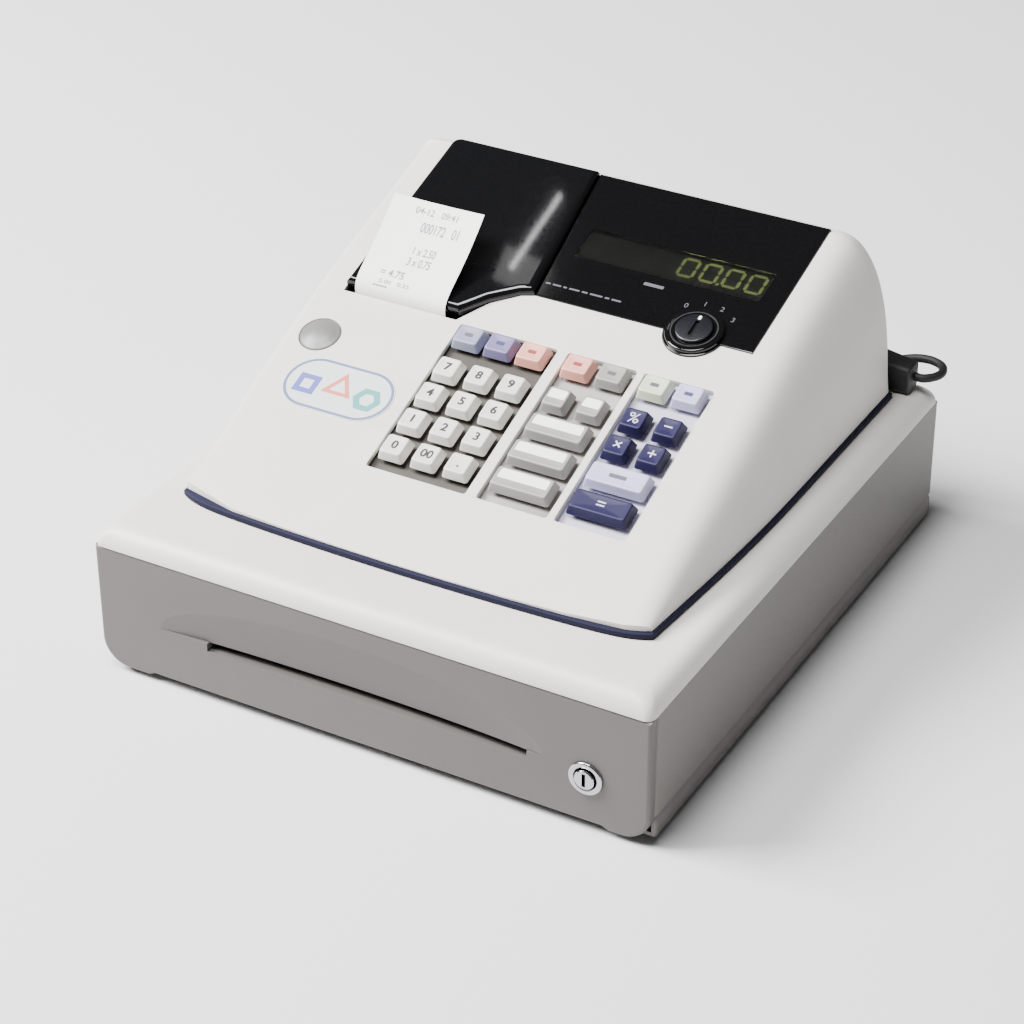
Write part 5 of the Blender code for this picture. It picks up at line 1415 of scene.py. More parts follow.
# Display panel and mode switch
@dataclass
class Display:
    """Black panel with the display window, the lit figures and the mode switch."""

    right: float = 0.1100
    left: float = -0.1280
    top_y: float = 0.1385
    front_y: float = 0.0425
    right_front_y: float = 0.0412
    cover_front_y: float = 0.0170
    slot_width: float = 0.0036
    thickness: float = 0.0032
    proud: float = 0.0006
    division_top: float = -0.0330
    division_foot: float = -0.0220
    boss_x: float = 0.0740
    boss_y: float = 0.0450
    boss_radius: float = 0.0175
    boss_height: float = 0.0022
    boss_steps: int = 36
    corner: float = 0.006
    corner_steps: int = 8
    # X and Y of the rise that the housing makes in front of the cover
    hump: tuple[tuple[float, float], ...] = ((-0.0560, 0.0170), (-0.0440, 0.0300), (-0.0300, 0.0400))
    # Left, Y of the front, right, Y of the rear
    window: tuple[float, float, float, float] = (-0.0160, 0.0760, 0.0970, 0.0980)
    window_corner: float = 0.0015
    # How far its foot and its top lie below the panel's face
    filter_span: tuple[float, float] = (0.0013, 0.0002)
    board_drop: float = 0.0003
    rotor_radius: float = 0.0105
    rotor_gap: float = 0.0004
    rotor_proud: float = 0.0016
    rotor_stem: float = 0.0060
    # Half width, reach as a share of the radius, depth
    grip: Point = (0.0012, 0.55, 0.0016)
    # Half width, start and end as shares of the radius
    pointer: Point = (0.0008, 0.6, 0.86)
    knurl: Point = (0.0007, 0.0006, 0.0022)
    knurl_gap: float = 0.0024
    knurl_count: int = 36
    digit_x: float = 0.0473
    digit_pitch: float = 0.0136
    digit_size: tuple[float, float] = (0.0090, 0.0132)
    digit_s: float = 0.0490
    segment: float = 0.0018
    dial_angles: tuple[float, ...] = (128.0, 100.0, 72.0, 44.0)
    dial_gap: float = 0.0042
    dial_size: float = 0.0048
    dashes: tuple[float, ...] = (0.0030, 0.0052, 0.0022, 0.0064, 0.0036, 0.0078, 0.0028, 0.0058)
    dash_gap: float = 0.0014
    dash_x: float = -0.0210
    # Front and rear up the slope
    dash_span: tuple[float, float] = (0.0094, 0.0106)
    dash_corner: float = 0.0004
    # Left, front, right, rear
    tick: tuple[float, float, float, float] = (0.0310, 0.0262, 0.0430, 0.0284)
    tick_corner: float = 0.0005

    @property
    def boss_place(self) -> Matrix:
        """Middle of the mode switch in the panel's frame."""
        return Matrix.Translation((self.boss_x, SLOPES.up(self.boss_y), 0.0))

    def boss_arc(self) -> Outline:
        """Arc of the boss below the panel's front edge.

        Returns:
            Its points from left to right.
        """
        centre = SLOPES.up(self.boss_y)
        left, right = (math.degrees(math.asin((centre - SLOPES.up(y)) / self.boss_radius))
                       for y in (self.front_y, self.right_front_y))
        return arc(self.boss_x, centre, self.boss_radius, 180 + left, 360 - right, self.boss_steps)

    def left_corner(self) -> Outline:
        """Round corner of the black area at the rear left."""
        radius = self.corner
        return arc(self.left + radius, SLOPES.up(self.top_y) - radius, radius, 90, 180, self.corner_steps)

    def opening(self) -> Outline:
        """Outline of the whole black area, with the paper slot ahead of the cover.

        Returns:
            The outline.
        """
        front = SLOPES.up(self.cover_front_y) - self.slot_width
        points = [(self.right, SLOPES.up(self.right_front_y)), (self.right, SLOPES.up(self.top_y)),
                  *self.left_corner(), (self.left, front), (self.hump[0][0], front),
                  *((x, SLOPES.up(y)) for x, y in self.hump[1:]), (self.division_foot, SLOPES.up(self.front_y))]
        return grow(points + self.boss_arc(), FIT_GAP)

    def outline(self) -> Outline:
        """Outline of the display panel alone.

        Returns:
            The outline.
        """
        head = SLOPES.up(self.top_y)
        return [(self.right, SLOPES.up(self.right_front_y)), (self.right, head), (self.division_top, head),
                (self.division_foot, SLOPES.up(self.front_y)), *self.boss_arc()]

    def build_panel(self) -> None:
        """Panel with a softened edge, the boss with a rounded rim, the bore and the window."""
        outline = self.outline()
        edge = self.thickness / 6
        levels = [(outline, self.proud - self.thickness), (outline, self.proud - edge),
                  (grow(outline, -edge * 0.3), self.proud - edge * 0.3), (grow(outline, -edge), self.proud),
                  (grow(outline, -edge * 1.5), self.proud)]
        rim = self.boss_height / 2
        base = self.proud - self.thickness / 2
        top = self.proud + self.boss_height
        wide = self.boss_radius - rim
        profile = [(0.0, base), (wide, base), (wide, self.proud), *arc(wide - rim, top - rim, rim, 0, 90, 5),
                   (0.0, top)]
        bore = drum(self.rotor_radius + self.rotor_gap, -OVERRUN, OVERRUN, self.boss_place)
        left, front, right, rear = self.window
        hole = rounded(left, SLOPES.up(front), right, SLOPES.up(rear), self.window_corner, 5)
        mesh = carve(slab(levels), [bore, prism(hole, -OVERRUN, OVERRUN)], [turned(profile, self.boss_place)])
        piece("black_panel", moved(mesh, SLOPES.panel), "black_acrylic", "cabinet", ("display_panel",))
        low, high = (self.proud - drop for drop in self.filter_span)
        mesh = moved(prism(grow(hole, -FIT_GAP / 3), low, high), SLOPES.panel)
        piece("display_filter", mesh, "smoked_filter", "cabinet", ())

    def bar(self, x: float, s: float, length: float, upright: bool) -> Outline:
        """One segment: a bar with pointed ends.

        Args:
            x: Its middle along X.
            s: Its middle up the slope.
            length: Its length.
            upright: Along the slope instead of along X.

        Returns:
            The outline.
        """
        half = length / 2 - self.segment * 0.15
        thick = self.segment / 2
        points = [(-half, 0.0), (-half + thick, -thick), (half - thick, -thick), (half, 0.0), (half - thick, thick),
                  (-half + thick, thick)]
        return [(x - b, s + a) if upright else (x + a, s + b) for a, b in points]

    def build_figures(self) -> None:
        """Four noughts on the board, with their middle bars unlit, and the point between them."""
        low = self.proud - self.thickness - self.board_drop
        high = low + PRINT_LIFT * 2
        half_x, half_s = (size / 2 for size in self.digit_size)
        sides = ((0, 1), (1, 0.5), (1, -0.5), (0, -1), (-1, -0.5), (-1, 0.5), (0, 0))
        lit = []
        unlit = []
        for place in range(4):
            x = self.digit_x + self.digit_pitch * place
            for across, up in sides:
                length = half_s if across else half_x * 2
                outline = self.bar(x + across * half_x, self.digit_s + up * half_s, length, bool(across))
                (lit if across or up else unlit).append(prism(outline, low, high))
        dot = self.segment / 2
        x = self.digit_x + self.digit_pitch * 1.5
        s = self.digit_s - half_s
        lit.append(prism(rounded(x - dot, s - dot, x + dot, s + dot, dot / 2, 3), low, high))
        for name, meshes, finish in (("lit_figures", lit, "lit_segments"), ("unlit_bars", unlit, "unlit_segments")):
            piece(name, moved(merged(meshes, name), SLOPES.panel), finish, "cabinet", ())
        piece("display_mask", welded("display_board"), "display_mask", "cabinet", ("display_board",))

    def build_legends(self) -> None:
        """Dial numbers round the mode switch, the printed dashes, and the knurls of its collar."""
        centre = SLOPES.up(self.boss_y)
        reach = self.boss_radius + self.dial_gap
        meshes = []
        for figure, angle_deg in enumerate(self.dial_angles):
            angle = math.radians(angle_deg)
            place = (self.boss_x + reach * math.cos(angle), centre + reach * math.sin(angle), self.proud)
            meshes.append(lettering(str(figure), self.dial_size, Matrix.Translation(place)))
        low, high = self.dash_span
        outlines = []
        x = self.dash_x
        for length in self.dashes:
            outlines.append(rounded(x, low, x + length, high, self.dash_corner, 3))
            x += length + self.dash_gap
        outlines.append(rounded(*self.tick, self.tick_corner, 3))
        meshes += [prism(outline, self.proud - PRINT_LIFT, self.proud + PRINT_LIFT) for outline in outlines]
        mesh = moved(merged(meshes, "print"), SLOPES.panel)
        piece("panel_print", mesh, "print_grey", "cabinet", ())
        place = SLOPES.panel @ self.boss_place @ Matrix.Translation((0.0, 0.0, self.proud + self.boss_height))
        ring = Repeater(RepeatKind.RING, "black_abs").mesh(self.knurl_count, self.rotor_radius + self.knurl_gap,
                                                           self.knurl, place)
        piece("boss_knurls", ring, "black_abs", "cabinet", ())

    def build_rotor(self) -> None:
        """Mode switch knob with a rounded rim, a grip slot and a pale pointer."""
        radius = self.rotor_radius
        top = self.proud + self.boss_height + self.rotor_proud
        low = self.proud - self.rotor_stem
        rim = radius / 12
        profile = [(0.0, low), (radius, low), *arc(radius - rim, top - rim, rim, 0, 90, 4), (0.0, top)]
        width, reach, depth = self.grip
        slot = box((-width, -radius * reach, top - depth), (width, radius * 0.5, top + OVERRUN))
        place = SLOPES.panel @ self.boss_place
        mesh = moved(carve(turned(profile, Matrix.Identity(4)), [slot]), place)
        piece("mode_knob", mesh, "knob_navy", "mode_switch", ("mode_rotor",))
        width, start, end = self.pointer
        mark = rounded(-width, radius * start, width, radius * end, width / 2, 3)
        mesh = moved(prism(mark, top - PRINT_LIFT, top + PRINT_LIFT), place)
        piece("mode_pointer", mesh, "key_label", "mode_switch", ())

    def build(self) -> None:
        """Build every piece."""
        self.build_panel()
        self.build_figures()
        self.build_legends()
        self.build_rotor()


# Upper case
@dataclass
class UpperCase:
    """Cream housing round the keyboard and the display, and the slate blue strip at its foot."""

    keyboard: Keyboard
    display: Display
    wall: float = 0.0026
    foot: float = 0.0927
    front: float = -0.1395
    rear: float = 0.154
    bow: float = 0.005
    front_corner: float = 0.006
    rear_corner: float = 0.006
    corner_power: float = 14
    half_front: float = 0.139
    half_middle: float = 0.1465
    middle_y: float = 0.020
    left_round: float = 0.006
    cheek_front: float = 0.126
    cheek_rear: float = 0.112
    cheek_power: float = 2.3
    head_y: float = 0.136
    ridge: float = 0.013
    lean: float = 0.004
    trim_low: float = 0.0888
    trim_height: float = 0.0036
    trim_width: float = 0.0045
    trim_proud: float = 0.0016
    lip: float = 0.0005
    skin_fine: int = 5
    hollow_fine: int = 2
    sharp_deg: float = 28.0

    def half(self, y: float) -> float:
        """Half width of the foot at Y."""
        share = min(max((y - self.front) / (self.middle_y - self.front), 0.0), 1.0)
        return self.half_front + (self.half_middle - self.half_front) * math.sin(share * math.pi / 2)

    def front_y(self, x: float) -> float:
        """Front of the foot at X."""
        share = min(abs(x) / self.half_front, 1.0)
        return self.front + self.bow * share ** 2 + self.front_corner * share ** self.corner_power

    def rear_y(self, x: float) -> float:
        """Rear of the foot at X."""
        share = min(abs(x) / self.half_middle, 1.0)
        return self.rear - self.rear_corner * share ** self.corner_power

    def place_y(self, row_y: float, x: float, wall: float = 0.0) -> float:
        """Y of a point, from where its row crosses the centre line.

        Args:
            row_y: Y of the row on the centre line.
            x: Where along X.
            wall: Zero for the skin, else the wall's thickness.

        Returns:
            The point's Y.
        """
        front = self.front_y(x) + wall
        rear = self.rear_y(x) - wall
        return front + (row_y - self.front) * (rear - front) / (self.rear - self.front)

    def rows(self, fine: int) -> list[tuple[float, float | None]]:
        """Rows from front to rear.

        Args:
            fine: How many times finer than the plainest rows.

        Returns:
            Y on the centre line, and the height where it is off the slope.
        """
        slope = math.radians(SLOPES.panel_deg)
        deck_steps, panel_steps, ridge_steps = 10 * fine, 4 * fine, 4 * fine
        reach = SLOPES.foot_y - self.front
        rows = [(self.front + reach * step / deck_steps, None) for step in range(deck_steps + 1)]
        reach = self.head_y - SLOPES.foot_y
        rows += [(SLOPES.foot_y + reach * step / panel_steps, None) for step in range(1, panel_steps + 1)]
        head = SLOPES.height(self.head_y)
        reach = self.rear - self.lean - self.head_y
        for step in range(1, ridge_steps + 1):
            angle = slope + (math.pi / 2 - slope) * step / ridge_steps
            rise = math.sin(angle) - math.sin(slope)
            fall = math.cos(slope) - math.cos(angle)
            height = head + self.ridge * (math.tan(slope) * rise - fall)
            rows.append((self.head_y + reach * rise / (1 - math.sin(slope)), height))
        return rows

    def columns(self, fine: int) -> list[tuple[str, float]]:
        """Columns across the case: zone, and the share along it.

        Args:
            fine: How many times finer than the plainest columns.

        Returns:
            The columns from left to right.
        """
        columns = [("left", step / (2 * fine)) for step in range(2 * fine)]
        columns += [("left_round", step / (3 * fine)) for step in range(3 * fine + 1)]
        columns += [("top", step / 8) for step in range(1, 8)]
        columns += [("cheek", step / (7 * fine)) for step in range(7 * fine + 1)]
        return columns

    def point(self, row: tuple[float, float | None], column: tuple[str, float], foot: float, wall: float) -> Point:
        """One point of the outer skin, or of the hollow.

        Args:
            row: The row.
            column: The column.
            foot: Height of the foot.
            wall: Zero for the skin, else the wall's thickness.

        Returns:
            The point.
        """
        row_y, row_z = row
        zone, share = column
        half = self.half(row_y) - wall
        along = min(max((row_y - self.front) / (self.head_y - self.front), 0.0), 1.0)
        cheek = self.cheek_front + (self.cheek_rear - self.cheek_front) * along - wall
        lower = wall / math.cos(math.radians(SLOPES.deck_deg))
        centre_z = (SLOPES.height(row_y) if row_z is None else row_z) - lower
        room = max(centre_z - foot, 0.0)
        radius = min(self.left_round, room / 2)
        angle = share * math.pi / 2
        power = 2 / self.cheek_power
        if zone == "left":
            x = -half
            drop = room - (room - radius) * share
        elif zone == "left_round":
            x = -half + radius * (1 - math.cos(angle))
            drop = radius * (1 - math.sin(angle))
        elif zone == "top":
            x = -half + radius + (cheek + half - radius) * share
            drop = 0.0
        else:
            x = cheek + (half - cheek) * math.sin(angle) ** power
            drop = room * (1 - max(math.cos(angle), 0.0) ** power)
        y = self.place_y(row_y, x, wall)
        if row_z is None:
            height = SLOPES.height(y) - lower
            return (x, y, height - drop * max(height - foot, 0.0) / room)
        return (x, y, centre_z - drop)

    def solid(self, foot: float, wall: float, fine: int) -> Mesh:
        """The outer form, or the hollow.

        Args:
            foot: Height of the foot.
            wall: Zero for the skin, else the wall's thickness.
            fine: How fine the grid is.

        Returns:
            A closed mesh.
        """
        rows = self.rows(fine)
        columns = self.columns(fine)
        lines = [[self.point(row, column, foot, wall) for column in columns]
                 for row in [rows[0], *rows, (self.rear, rows[-1][1])]]
        for end in (0, -1):
            lines[end] = [(x, y, foot) for x, y, _ in lines[end]]
        shape = bmesh.new()
        grid = [[shape.verts.new(point) for point in line] for line in lines]
        for lower, upper in zip(grid, grid[1:]):
            for index in range(len(columns) - 1):
                shape.faces.new((lower[index], lower[index + 1], upper[index + 1], upper[index]))
        bmesh.ops.remove_doubles(shape, verts=shape.verts[:], dist=MERGE)
        bmesh.ops.dissolve_degenerate(shape, edges=shape.edges[:], dist=MERGE)
        bmesh.ops.holes_fill(shape, edges=shape.edges[:], sides=0)
        return mesh_from(shape, "case")

    def foot_outline(self, spread: float) -> Outline:
        """Plan outline of the foot.

        Args:
            spread: How far it grows outwards.

        Returns:
            The outline.
        """
        side_steps, turn_steps = 40, 24
        ways = [self.front + (self.rear - self.front) * step / side_steps for step in range(side_steps + 1)]
        sides = [(self.half(y), self.place_y(y, self.half(y))) for y in ways]
        turns = [math.sin(step / turn_steps * math.pi / 2) for step in range(1 - turn_steps, turn_steps)]
        fronts = [self.half_front * turn for turn in turns]
        rears = [self.half_middle * turn for turn in reversed(turns)]
        outline = [*((x, self.front_y(x)) for x in fronts), *sides, *((x, self.rear_y(x)) for x in rears),
                   *((-x, y) for x, y in reversed(sides))]
        middle = (self.front + self.rear) / 2
        reach = (self.rear - self.front) / 2
        wide = (self.half_middle + spread) / self.half_middle
        deep = (reach + spread) / reach
        return [(x * wide, middle + (y - middle) * deep) for x, y in outline]

    def flared(self, outline: Outline) -> Mesh:
        """A cutter on the deck whose upper edge flares, so that the cut has a soft lip.

        Args:
            outline: The hole's outline.

        Returns:
            The cutter.
        """
        lip = self.lip
        levels = [(outline, -OVERRUN), (outline, -lip), (grow(outline, lip * 0.3), -lip * 0.3),
                  (grow(outline, lip), 0.0), (grow(outline, lip * 3), OVERRUN / 2)]
        return moved(slab(levels), SLOPES.deck)

    def build_shell(self) -> None:
        """The housing with its hollow, the key wells, the feed key's hole and the black area's opening."""
        cuts = [self.solid(self.foot - OVERRUN, self.wall, self.hollow_fine)]
        cuts += [self.flared(outline) for outline in [*self.keyboard.wells(), self.keyboard.feed_hole()]]
        cuts.append(moved(prism(self.display.opening(), -OVERRUN, OVERRUN * 2), SLOPES.panel))
        mesh = carve(self.solid(self.foot, 0.0, self.skin_fine), cuts)
        piece("case_shell", mesh, "cream_abs", "cabinet", ("upper_case",),
              math.radians(self.sharp_deg))

    def build_trim(self) -> None:
        """Slate blue strip with a rounded outer edge."""
        low = self.trim_low
        high = low + self.trim_height
        edge = self.trim_height / 6
        outline = self.foot_outline(self.trim_proud)
        inset = self.foot_outline(self.trim_proud - edge)
        hole = prism(self.foot_outline(self.trim_proud - self.trim_width), low - OVERRUN, high + OVERRUN)
        mesh = carve(slab([(inset, low), (outline, low + edge), (outline, high - edge), (inset, high)]), [hole])
        piece("foot_strip", mesh, "slate_blue_abs", "cabinet", ("trim_line",))

    def build(self) -> None:
        """Build every piece."""
        self.build_shell()
        self.build_trim()


@dataclass
class Badge:
    """Oval badge with three plain outlined shapes."""

    x: float = -0.0930
    s: float = 0.0915
    half_x: float = 0.0335
    half_s: float = 0.0180
    thickness: float = 0.00035
    rim: float = 0.0015
    rim_inset: float = 0.0006
    rim_slope: float = 0.0002
    # Name, ink, and what ring takes
    shapes: tuple[tuple, ...] = (("square", "blue", 4, 0.0092, 0.0046, -0.019, -0.002, 45.0),
                                 ("triangle", "coral", 3, 0.0106, 0.0046, 0.0, 0.001, 90.0),
                                 ("hexagon", "teal", 6, 0.0086, 0.0040, 0.019, -0.002, 0.0))

    def oval(self, inset: float) -> Outline:
        """The badge's outline.

        Args:
            inset: How far inside the edge.

        Returns:
            The outline.
        """
        radius = self.half_s - inset
        reach = self.half_x - self.half_s
        return arc(self.x + reach, self.s, radius, -90, 90, 24) + arc(self.x - reach, self.s, radius, 90, 270, 24)

    def band(self, outer: Outline, outer_top: Outline, inner_top: Outline, inner: Outline) -> Mesh:
        """A closed band that stands on the plate.

        Args:
            outer: Outer outline at its foot.
            outer_top: Outer outline at its top.
            inner_top: Inner outline at its top.
            inner: Inner outline at its foot.

        Returns:
            The mesh.
        """
        low, high = self.thickness, self.thickness * 1.5
        levels = ((outer, low), (outer_top, high), (inner_top, high), (inner, low))
        return loft([[(x, y, height) for x, y in outline] for outline, height in levels], True)

    def ring(self, sides: int, radius: float, width: float, across: float, up: float,
             turn_deg: float) -> Mesh:
        """A regular outlined shape.

        Args:
            sides: Number of sides.
            radius: Outer radius.
            width: Width of its line.
            across: Centre along X, from the badge's middle.
            up: Centre up the slope, from the badge's middle.
            turn_deg: Angle of its first corner.

        Returns:
            The mesh.
        """
        x, s = self.x + across, self.s + up
        outer, inner = (arc(x, s, reach, turn_deg, turn_deg + 360, sides)[:-1] for reach in (radius, radius - width))
        return self.band(outer, outer, inner, inner)

    def build(self) -> None:
        """Build the plate, its rim and the three shapes."""
        plate = slab([(self.oval(0.0), 0.0), (self.oval(self.thickness / 3), self.thickness)])
        start, slope = self.rim_inset, self.rim_slope
        edge = self.band(self.oval(start), self.oval(start + slope), self.oval(start + self.rim),
                         self.oval(start + slope + self.rim))
        parts = [("plate", plate, "ground"), ("edge", edge, "rim")]
        parts += [(name, self.ring(*sizes), finish) for name, finish, *sizes in self.shapes]
        for name, mesh, finish in parts:
            piece("badge_" + name, moved(mesh, SLOPES.deck), "badge_" + finish, "cabinet", ())


# Printer
@dataclass
class Printer:
    """Glossy cover, receipt, paper roll, platen and bracket."""

    display: Display
    dome: float = 0.0045
    skirt: float = 0.0015
    rounding: float = 0.0040
    rounding_steps: int = 8
    wall: float = 0.0018
    seam: float = 0.0010
    paper_left: float = -0.1215
    paper_width: float = 0.0580
    paper_thickness: float = 0.00012
    paper_columns: int = 12
    path_steps: int = 6
    curl: float = 0.0012
    # Y and Z of the paper's centre line, from the slot up
    path: tuple[tuple[float, float], ...] = (
        (0.0153, 0.1455), (0.0152, 0.1500), (0.0157, 0.1540), (0.0185, 0.1580), (0.0240, 0.1622), (0.0340, 0.1690),
        (0.0440, 0.1765), (0.0540, 0.1850), (0.0600, 0.1905))
    # Text, share of the length, letter size, share of the width
    print_rows: tuple[tuple[str, float, float, float], ...] = (
        ("04-12   09:41", 0.90, 0.0052, 0.52), ("000172   01", 0.80, 0.0052, 0.62), ("1 x 2.50", 0.66, 0.0046, 0.55),
        ("3 x 0.75", 0.59, 0.0046, 0.55), ("= 4.75", 0.48, 0.0060, 0.34), ("5.00   0.25", 0.38, 0.0046, 0.40),
        ("*****", 0.30, 0.0044, 0.26))
    bracket_round: float = 0.0003
    core: float = 0.0040
    core_step: float = 0.0006
    roll_edge: float = 0.0003
    roll_steps: int = 72
    platen_sharp_deg: float = 40.0
    tooth: Point = (0.0008, 0.0003, 0.0012)
    tooth_count: int = 40
    tooth_lead: float = 0.00025

    def cover_outline(self) -> Outline:
        """Outline of the cover in the panel's frame.

        Returns:
            The outline.
        """
        plan = self.display
        gap = self.seam / 2
        return [*((x, SLOPES.up(y)) for x, y in plan.hump), (plan.division_foot - gap, SLOPES.up(plan.front_y)),
                (plan.division_top - gap, SLOPES.up(plan.top_y)), *plan.left_corner(),
                (plan.left, SLOPES.up(plan.cover_front_y))]

    def build_cover(self) -> None:
        """Cover with a wide rounding all round, hollow below."""
        outline = self.cover_outline()
        levels = [(outline, -self.skirt)]
        levels += [(grow(outline, -inset), self.dome - drop)
                   for inset, drop in quarter(self.rounding, self.rounding_steps)]
        levels.append((grow(outline, -self.rounding - FIT_GAP), self.dome))
        hollow = prism(grow(outline, -self.rounding + FIT_GAP), -OVERRUN, self.dome - self.wall)
        mesh = moved(carve(slab(levels), [hollow]), SLOPES.panel)
        piece("printer_lid", mesh, "smoked_black_cover", "cover", ("printer_cover",))

    def sheet_point(self, line: list[Vector], across: float, along: float, lift: float) -> Vector:
        """A point on the receipt.

        Args:
            line: Its centre line.
            across: Share of the width.
            along: Share of the length.
            lift: Distance off the surface.

        Returns:
            The point.
        """
        place = along * (len(line) - 1)
        index = min(int(place), len(line) - 2)
        here = line[index].lerp(line[index + 1], place - index)
        run = (line[index + 1] - line[index]).normalized()
        normal = Vector((0.0, -run.z, run.y))
        curl = self.curl * (2 * across - 1) ** 2 * along
        x = self.paper_left + self.paper_width * across
        return Vector((x, here.y, here.z)) + normal * (lift + curl)

    def build_receipt(self) -> None:
        """Curled strip of paper with rows of printed figures."""
        line = smooth_path([(0.0, y, z) for y, z in self.path], self.path_steps)
        steps = len(line) - 1
        shares = [column / self.paper_columns for column in range(self.paper_columns + 1)]
        half = self.paper_thickness / 2
        sides = [(share, half) for share in shares] + [(share, -half) for share in reversed(shares)]
        sections = [[tuple(self.sheet_point(line, share, row / steps, lift)) for share, lift in sides]
                    for row in range(steps + 1)]
        piece("receipt_strip", loft(sections), "thermal_paper", "cover", ("receipt",))
        length = path_length(line)
        meshes = []
        for text, along, size, across in self.print_rows:
            mesh = lettering(text, size, Matrix.Identity(4), PRINT_LIFT / 4, BOLD)
            for vert in mesh.vertices:
                x, y, z = vert.co
                vert.co = self.sheet_point(line, across + x / self.paper_width, along + y / length,
                                           half + PRINT_LIFT / 2 + z)
            meshes.append(mesh)
        piece("receipt_print", merged(meshes, "print"), "print_grey", "cover", ())

    def build_works(self) -> None:
        """Bracket, paper roll and platen, and the steel tear bar."""
        bracket = softened(welded("printer_frame"), self.bracket_round)
        piece("printer_bracket", bracket, "painted_bracket", "cabinet", ("printer_frame",))
        low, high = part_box("paper_roll")
        radius = (high[2] - low[2]) / 2
        half = self.paper_width / 2
        shaft = (high[0] - low[0]) / 2
        core, step, edge = self.core, self.core_step, self.roll_edge
        side = [(0.0, shaft), (core, shaft), (core, half - step), (core * 1.6, half - step), (core * 1.7, half),
                (radius - edge, half), (radius, half - edge)]
        profile = side + [(reach, -height) for reach, height in reversed(side)]
        roll = turned(profile, aimed((low + high) / 2, (1, 0, 0)), self.roll_steps)
        piece("till_roll", roll, "thermal_paper", "roll", ("paper_roll",))
        piece("platen", welded("platen_roller"), "black_pvc", "platen", ("platen_roller",),
              math.radians(self.platen_sharp_deg))
        place = (self.paper_left, SLOPES.up(self.display.cover_front_y) - self.tooth_lead, 0.0)
        row = Repeater(RepeatKind.ROW, "galvanised_sheet").mesh(self.tooth_count, self.paper_width, self.tooth,
                                                                SLOPES.panel @ Matrix.Translation(place))
        piece("tear_teeth", row, "galvanised_sheet", "cover", ())

    def build(self) -> None:
        """Build every piece."""
        self.build_cover()
        self.build_receipt()
        self.build_works()


# Mains lead
@dataclass
class MainsLead:
    """Outlet block, the free stretch of the lead with its coil, and the plug."""

    diameter: float = 0.0050
    sides: int = 16
    route_steps: int = 4
    coil_steps: int = 2
    exit: Point = (0.1553, 0.1650, 0.0970)
    coil_x: float = 0.0550
    coil_y: float = 0.2400
    coil_outer: float = 0.0400
    coil_pitch: float = 0.0064
    layer_step: float = 0.0058
    layer_turns: float = 3.875
    change_turns: float = 0.5
    points_per_turn: int = 24
    floor_gap: float = 0.0001
    plug_round: float = 0.0005
    block_round: float = 0.0012
    # Free stretch of the lead, from the outlet down to the coil
    route: tuple[Point, ...] = (
        (0.1600, 0.1651, 0.0970), (0.1650, 0.1700, 0.0969), (0.1668, 0.1765, 0.0968), (0.1640, 0.1835, 0.0967),
        (0.1570, 0.1878, 0.0963), (0.1480, 0.1893, 0.0950), (0.1380, 0.1898, 0.0915), (0.1280, 0.1900, 0.0850),
        (0.1190, 0.1902, 0.0740), (0.1120, 0.1905, 0.0600), (0.1065, 0.1912, 0.0440), (0.1020, 0.1930, 0.0280),
        (0.0985, 0.1965, 0.0140), (0.0963, 0.2035, 0.0055), (0.0953, 0.2130, 0.0028), (0.0950, 0.2230, 0.0026))

    def coil(self) -> list[Point]:
        """Centre line of the coil: in by one layer, up at the inside, and out by the next.

        Returns:
            Its points, with a short straight lead at each end.
        """
        turns = self.layer_turns * 2 + self.change_turns
        count = round(turns * self.points_per_turn)
        floor = self.diameter / 2 + self.floor_gap
        points = []
        for turn in (turns * index / count for index in range(count + 1)):
            change = min(max(turn - self.layer_turns, 0.0), self.change_turns)
            wound = min(turn, self.layer_turns) - max(turn - self.layer_turns - self.change_turns, 0.0)
            radius = self.coil_outer - self.coil_pitch * wound
            angle = turn * math.tau
            points.append((self.coil_x + radius * math.cos(angle), self.coil_y + radius * math.sin(angle),
                           floor + self.layer_step * change / self.change_turns))
        angle = turns * math.tau
        last = Vector(points[-1]) + Vector((-math.sin(angle), math.cos(angle), 0.0)) * self.diameter
        first = (points[0][0], points[0][1] - self.diameter, points[0][2])
        return [first, *points, tuple(last)]

    def build(self) -> None:
        """Build the outlet block, the lead and the plug."""
        coil = self.coil()
        path = smooth_path([self.exit, *self.route, coil[0]], self.route_steps)[:-1]
        path += smooth_path(coil, self.coil_steps)
        mesh = PathTube("black_pvc").mesh(path, self.diameter / 2, self.sides)
        lead = piece("mains_lead", mesh, "black_pvc", "cabinet", ("power_cord", "cord_hank"))
        mesh = softened(welded("plug"), self.plug_round, 2, 35.0)
        plug = piece("mains_plug", mesh, "black_pvc", "cabinet", ("plug",))
        mesh = softened(welded("cord_gland"), self.block_round, 3, 25.0)
        piece("outlet_block", mesh, "black_pvc", "cabinet", ("cord_gland",))


# Studio
@dataclass(frozen=True)
class SoftLight:
    """A rectangular light: name, place, width and height, power in watts, and turn about its own axis."""

    name: str
    place: Point
    size: tuple[float, float]
    power: float
    roll_deg: float = 0.0


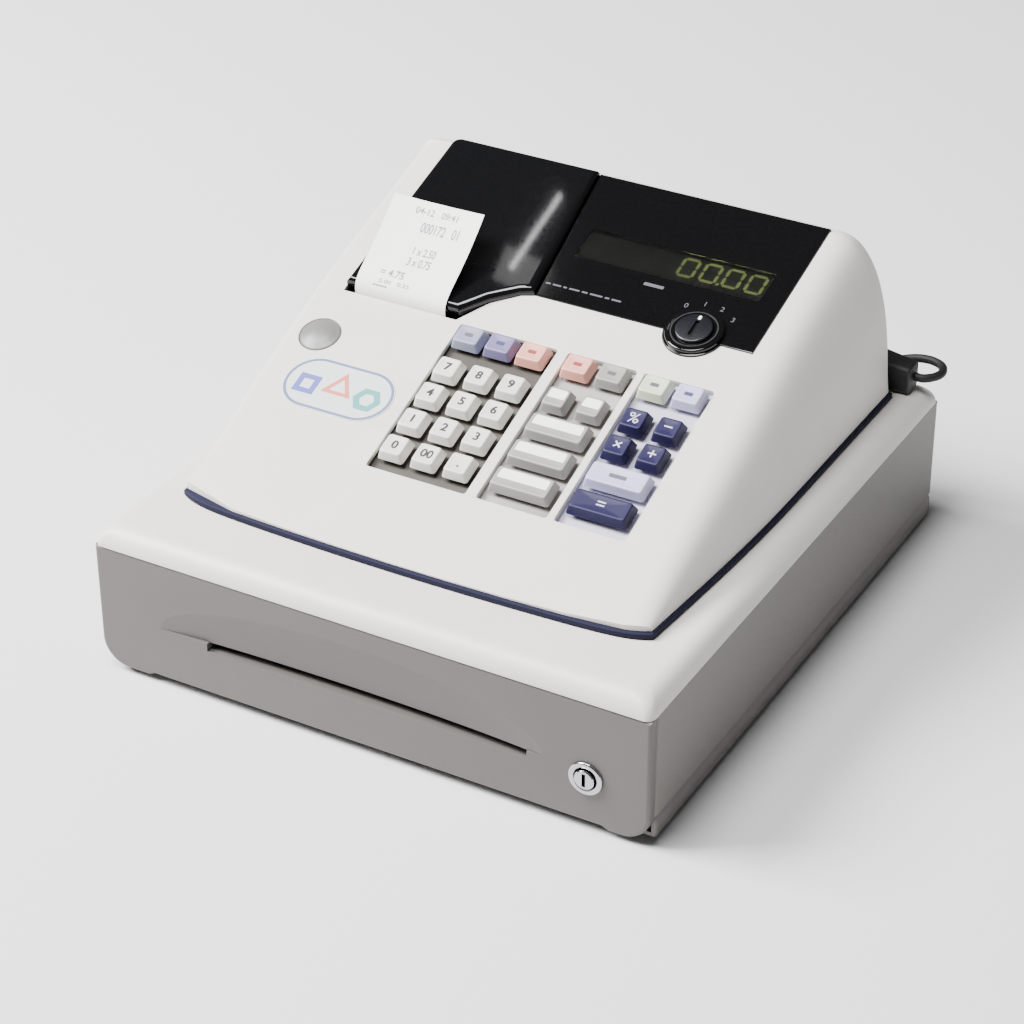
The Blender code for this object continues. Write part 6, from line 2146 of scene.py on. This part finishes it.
@dataclass
class Studio:
    """Pale floor, soft lights and the camera at the photograph's angle."""

    azimuth_deg: float = 29.1
    elevation_deg: float = 31.6
    distance: float = 1.6369
    target: Point = (0.0, 0.001, 0.063)
    lens: float = 104.4
    shift_x: float = -0.0213
    shift_y: float = -0.0208
    sensor: float = 36.0
    sight: float = 100.0
    floor_size: float = 12.0
    sky: float = 0.12
    lights: tuple[SoftLight, ...] = (
        SoftLight("key_light", (-2.0, -0.9, 2.2), (1.4, 1.4), 337.0),
        SoftLight("top_light", (-0.3, -0.6, 2.4), (1.0, 1.0), 90.0),
        # Two small lights that only show as reflections in the printer cover
        SoftLight("streak_light", (-0.912, 0.848, 1.807), (0.005, 0.11), 0.03, -62.0),
        SoftLight("glow_light", (-0.905, 0.79, 1.806), (0.06, 0.045), 0.018, -52.8))

    def build_camera(self) -> None:
        """Camera that looks at the target."""
        azimuth = math.radians(self.azimuth_deg)
        elevation = math.radians(self.elevation_deg)
        back = Vector((math.sin(azimuth) * math.cos(elevation), -math.cos(azimuth) * math.cos(elevation),
                       math.sin(elevation)))
        data = bpy.data.cameras.new("camera")
        data.lens = self.lens
        data.sensor_width = self.sensor
        data.shift_x = self.shift_x
        data.shift_y = self.shift_y
        data.clip_end = self.sight
        camera = linked("camera", data)
        camera.location = Vector(self.target) + back * self.distance
        camera.rotation_euler = back.to_track_quat("Z", "Y").to_euler()
        bpy.context.scene.camera = camera

    def build_light(self, lamp: SoftLight) -> None:
        """A light that faces the register.

        Args:
            lamp: What it is.
        """
        data = bpy.data.lights.new(lamp.name, "AREA")
        data.shape = "RECTANGLE"
        data.size, data.size_y = lamp.size
        data.energy = lamp.power
        light = linked(lamp.name, data)
        light.location = lamp.place
        aim = Vector(lamp.place) - Vector(self.target)
        facing = aim.to_track_quat("Z", "Y").to_matrix() @ Matrix.Rotation(math.radians(lamp.roll_deg), 3, "Z")
        light.rotation_euler = facing.to_euler()

    def build_floor(self) -> None:
        """Pale matt floor."""
        half = self.floor_size / 2
        mesh = bpy.data.meshes.new("floor")
        corners = [(-half, -half, 0.0), (half, -half, 0.0), (half, half, 0.0), (-half, half, 0.0)]
        mesh.from_pydata(corners, [], [(0, 1, 2, 3)])
        mesh.materials.append(MouldedPlastic("pale_floor", "D9D9DA", roughness=0.9, mottle=0.0).build())
        floor = linked("floor", mesh)

    def build_sky(self) -> None:
        """Even white surroundings."""
        world = bpy.data.worlds.new("surroundings")
        world.use_nodes = True
        feed(world.node_tree.nodes["Background"], {"Color": (1.0, 1.0, 1.0, 1.0), "Strength": self.sky})
        bpy.context.scene.world = world

    def build(self) -> None:
        """Build camera, floor, sky and lights."""
        self.build_camera()
        self.build_floor()
        self.build_sky()
        for lamp in self.lights:
            self.build_light(lamp)


def main() -> None:
    """Build the studio and every sub-assembly in order; each piece is logged as it is made."""
    logging.basicConfig(level=logging.INFO, format="%(message)s")
    keyboard = Keyboard()
    display = Display()
    for part in (Studio(), MainsLead(), Cabinet(), Drawer(), UpperCase(keyboard, display), Badge(), keyboard, display,
                 Printer(display)):
        LOG.info("%s", type(part).__name__)
        part.build()


if __name__ == "__main__":
    main()
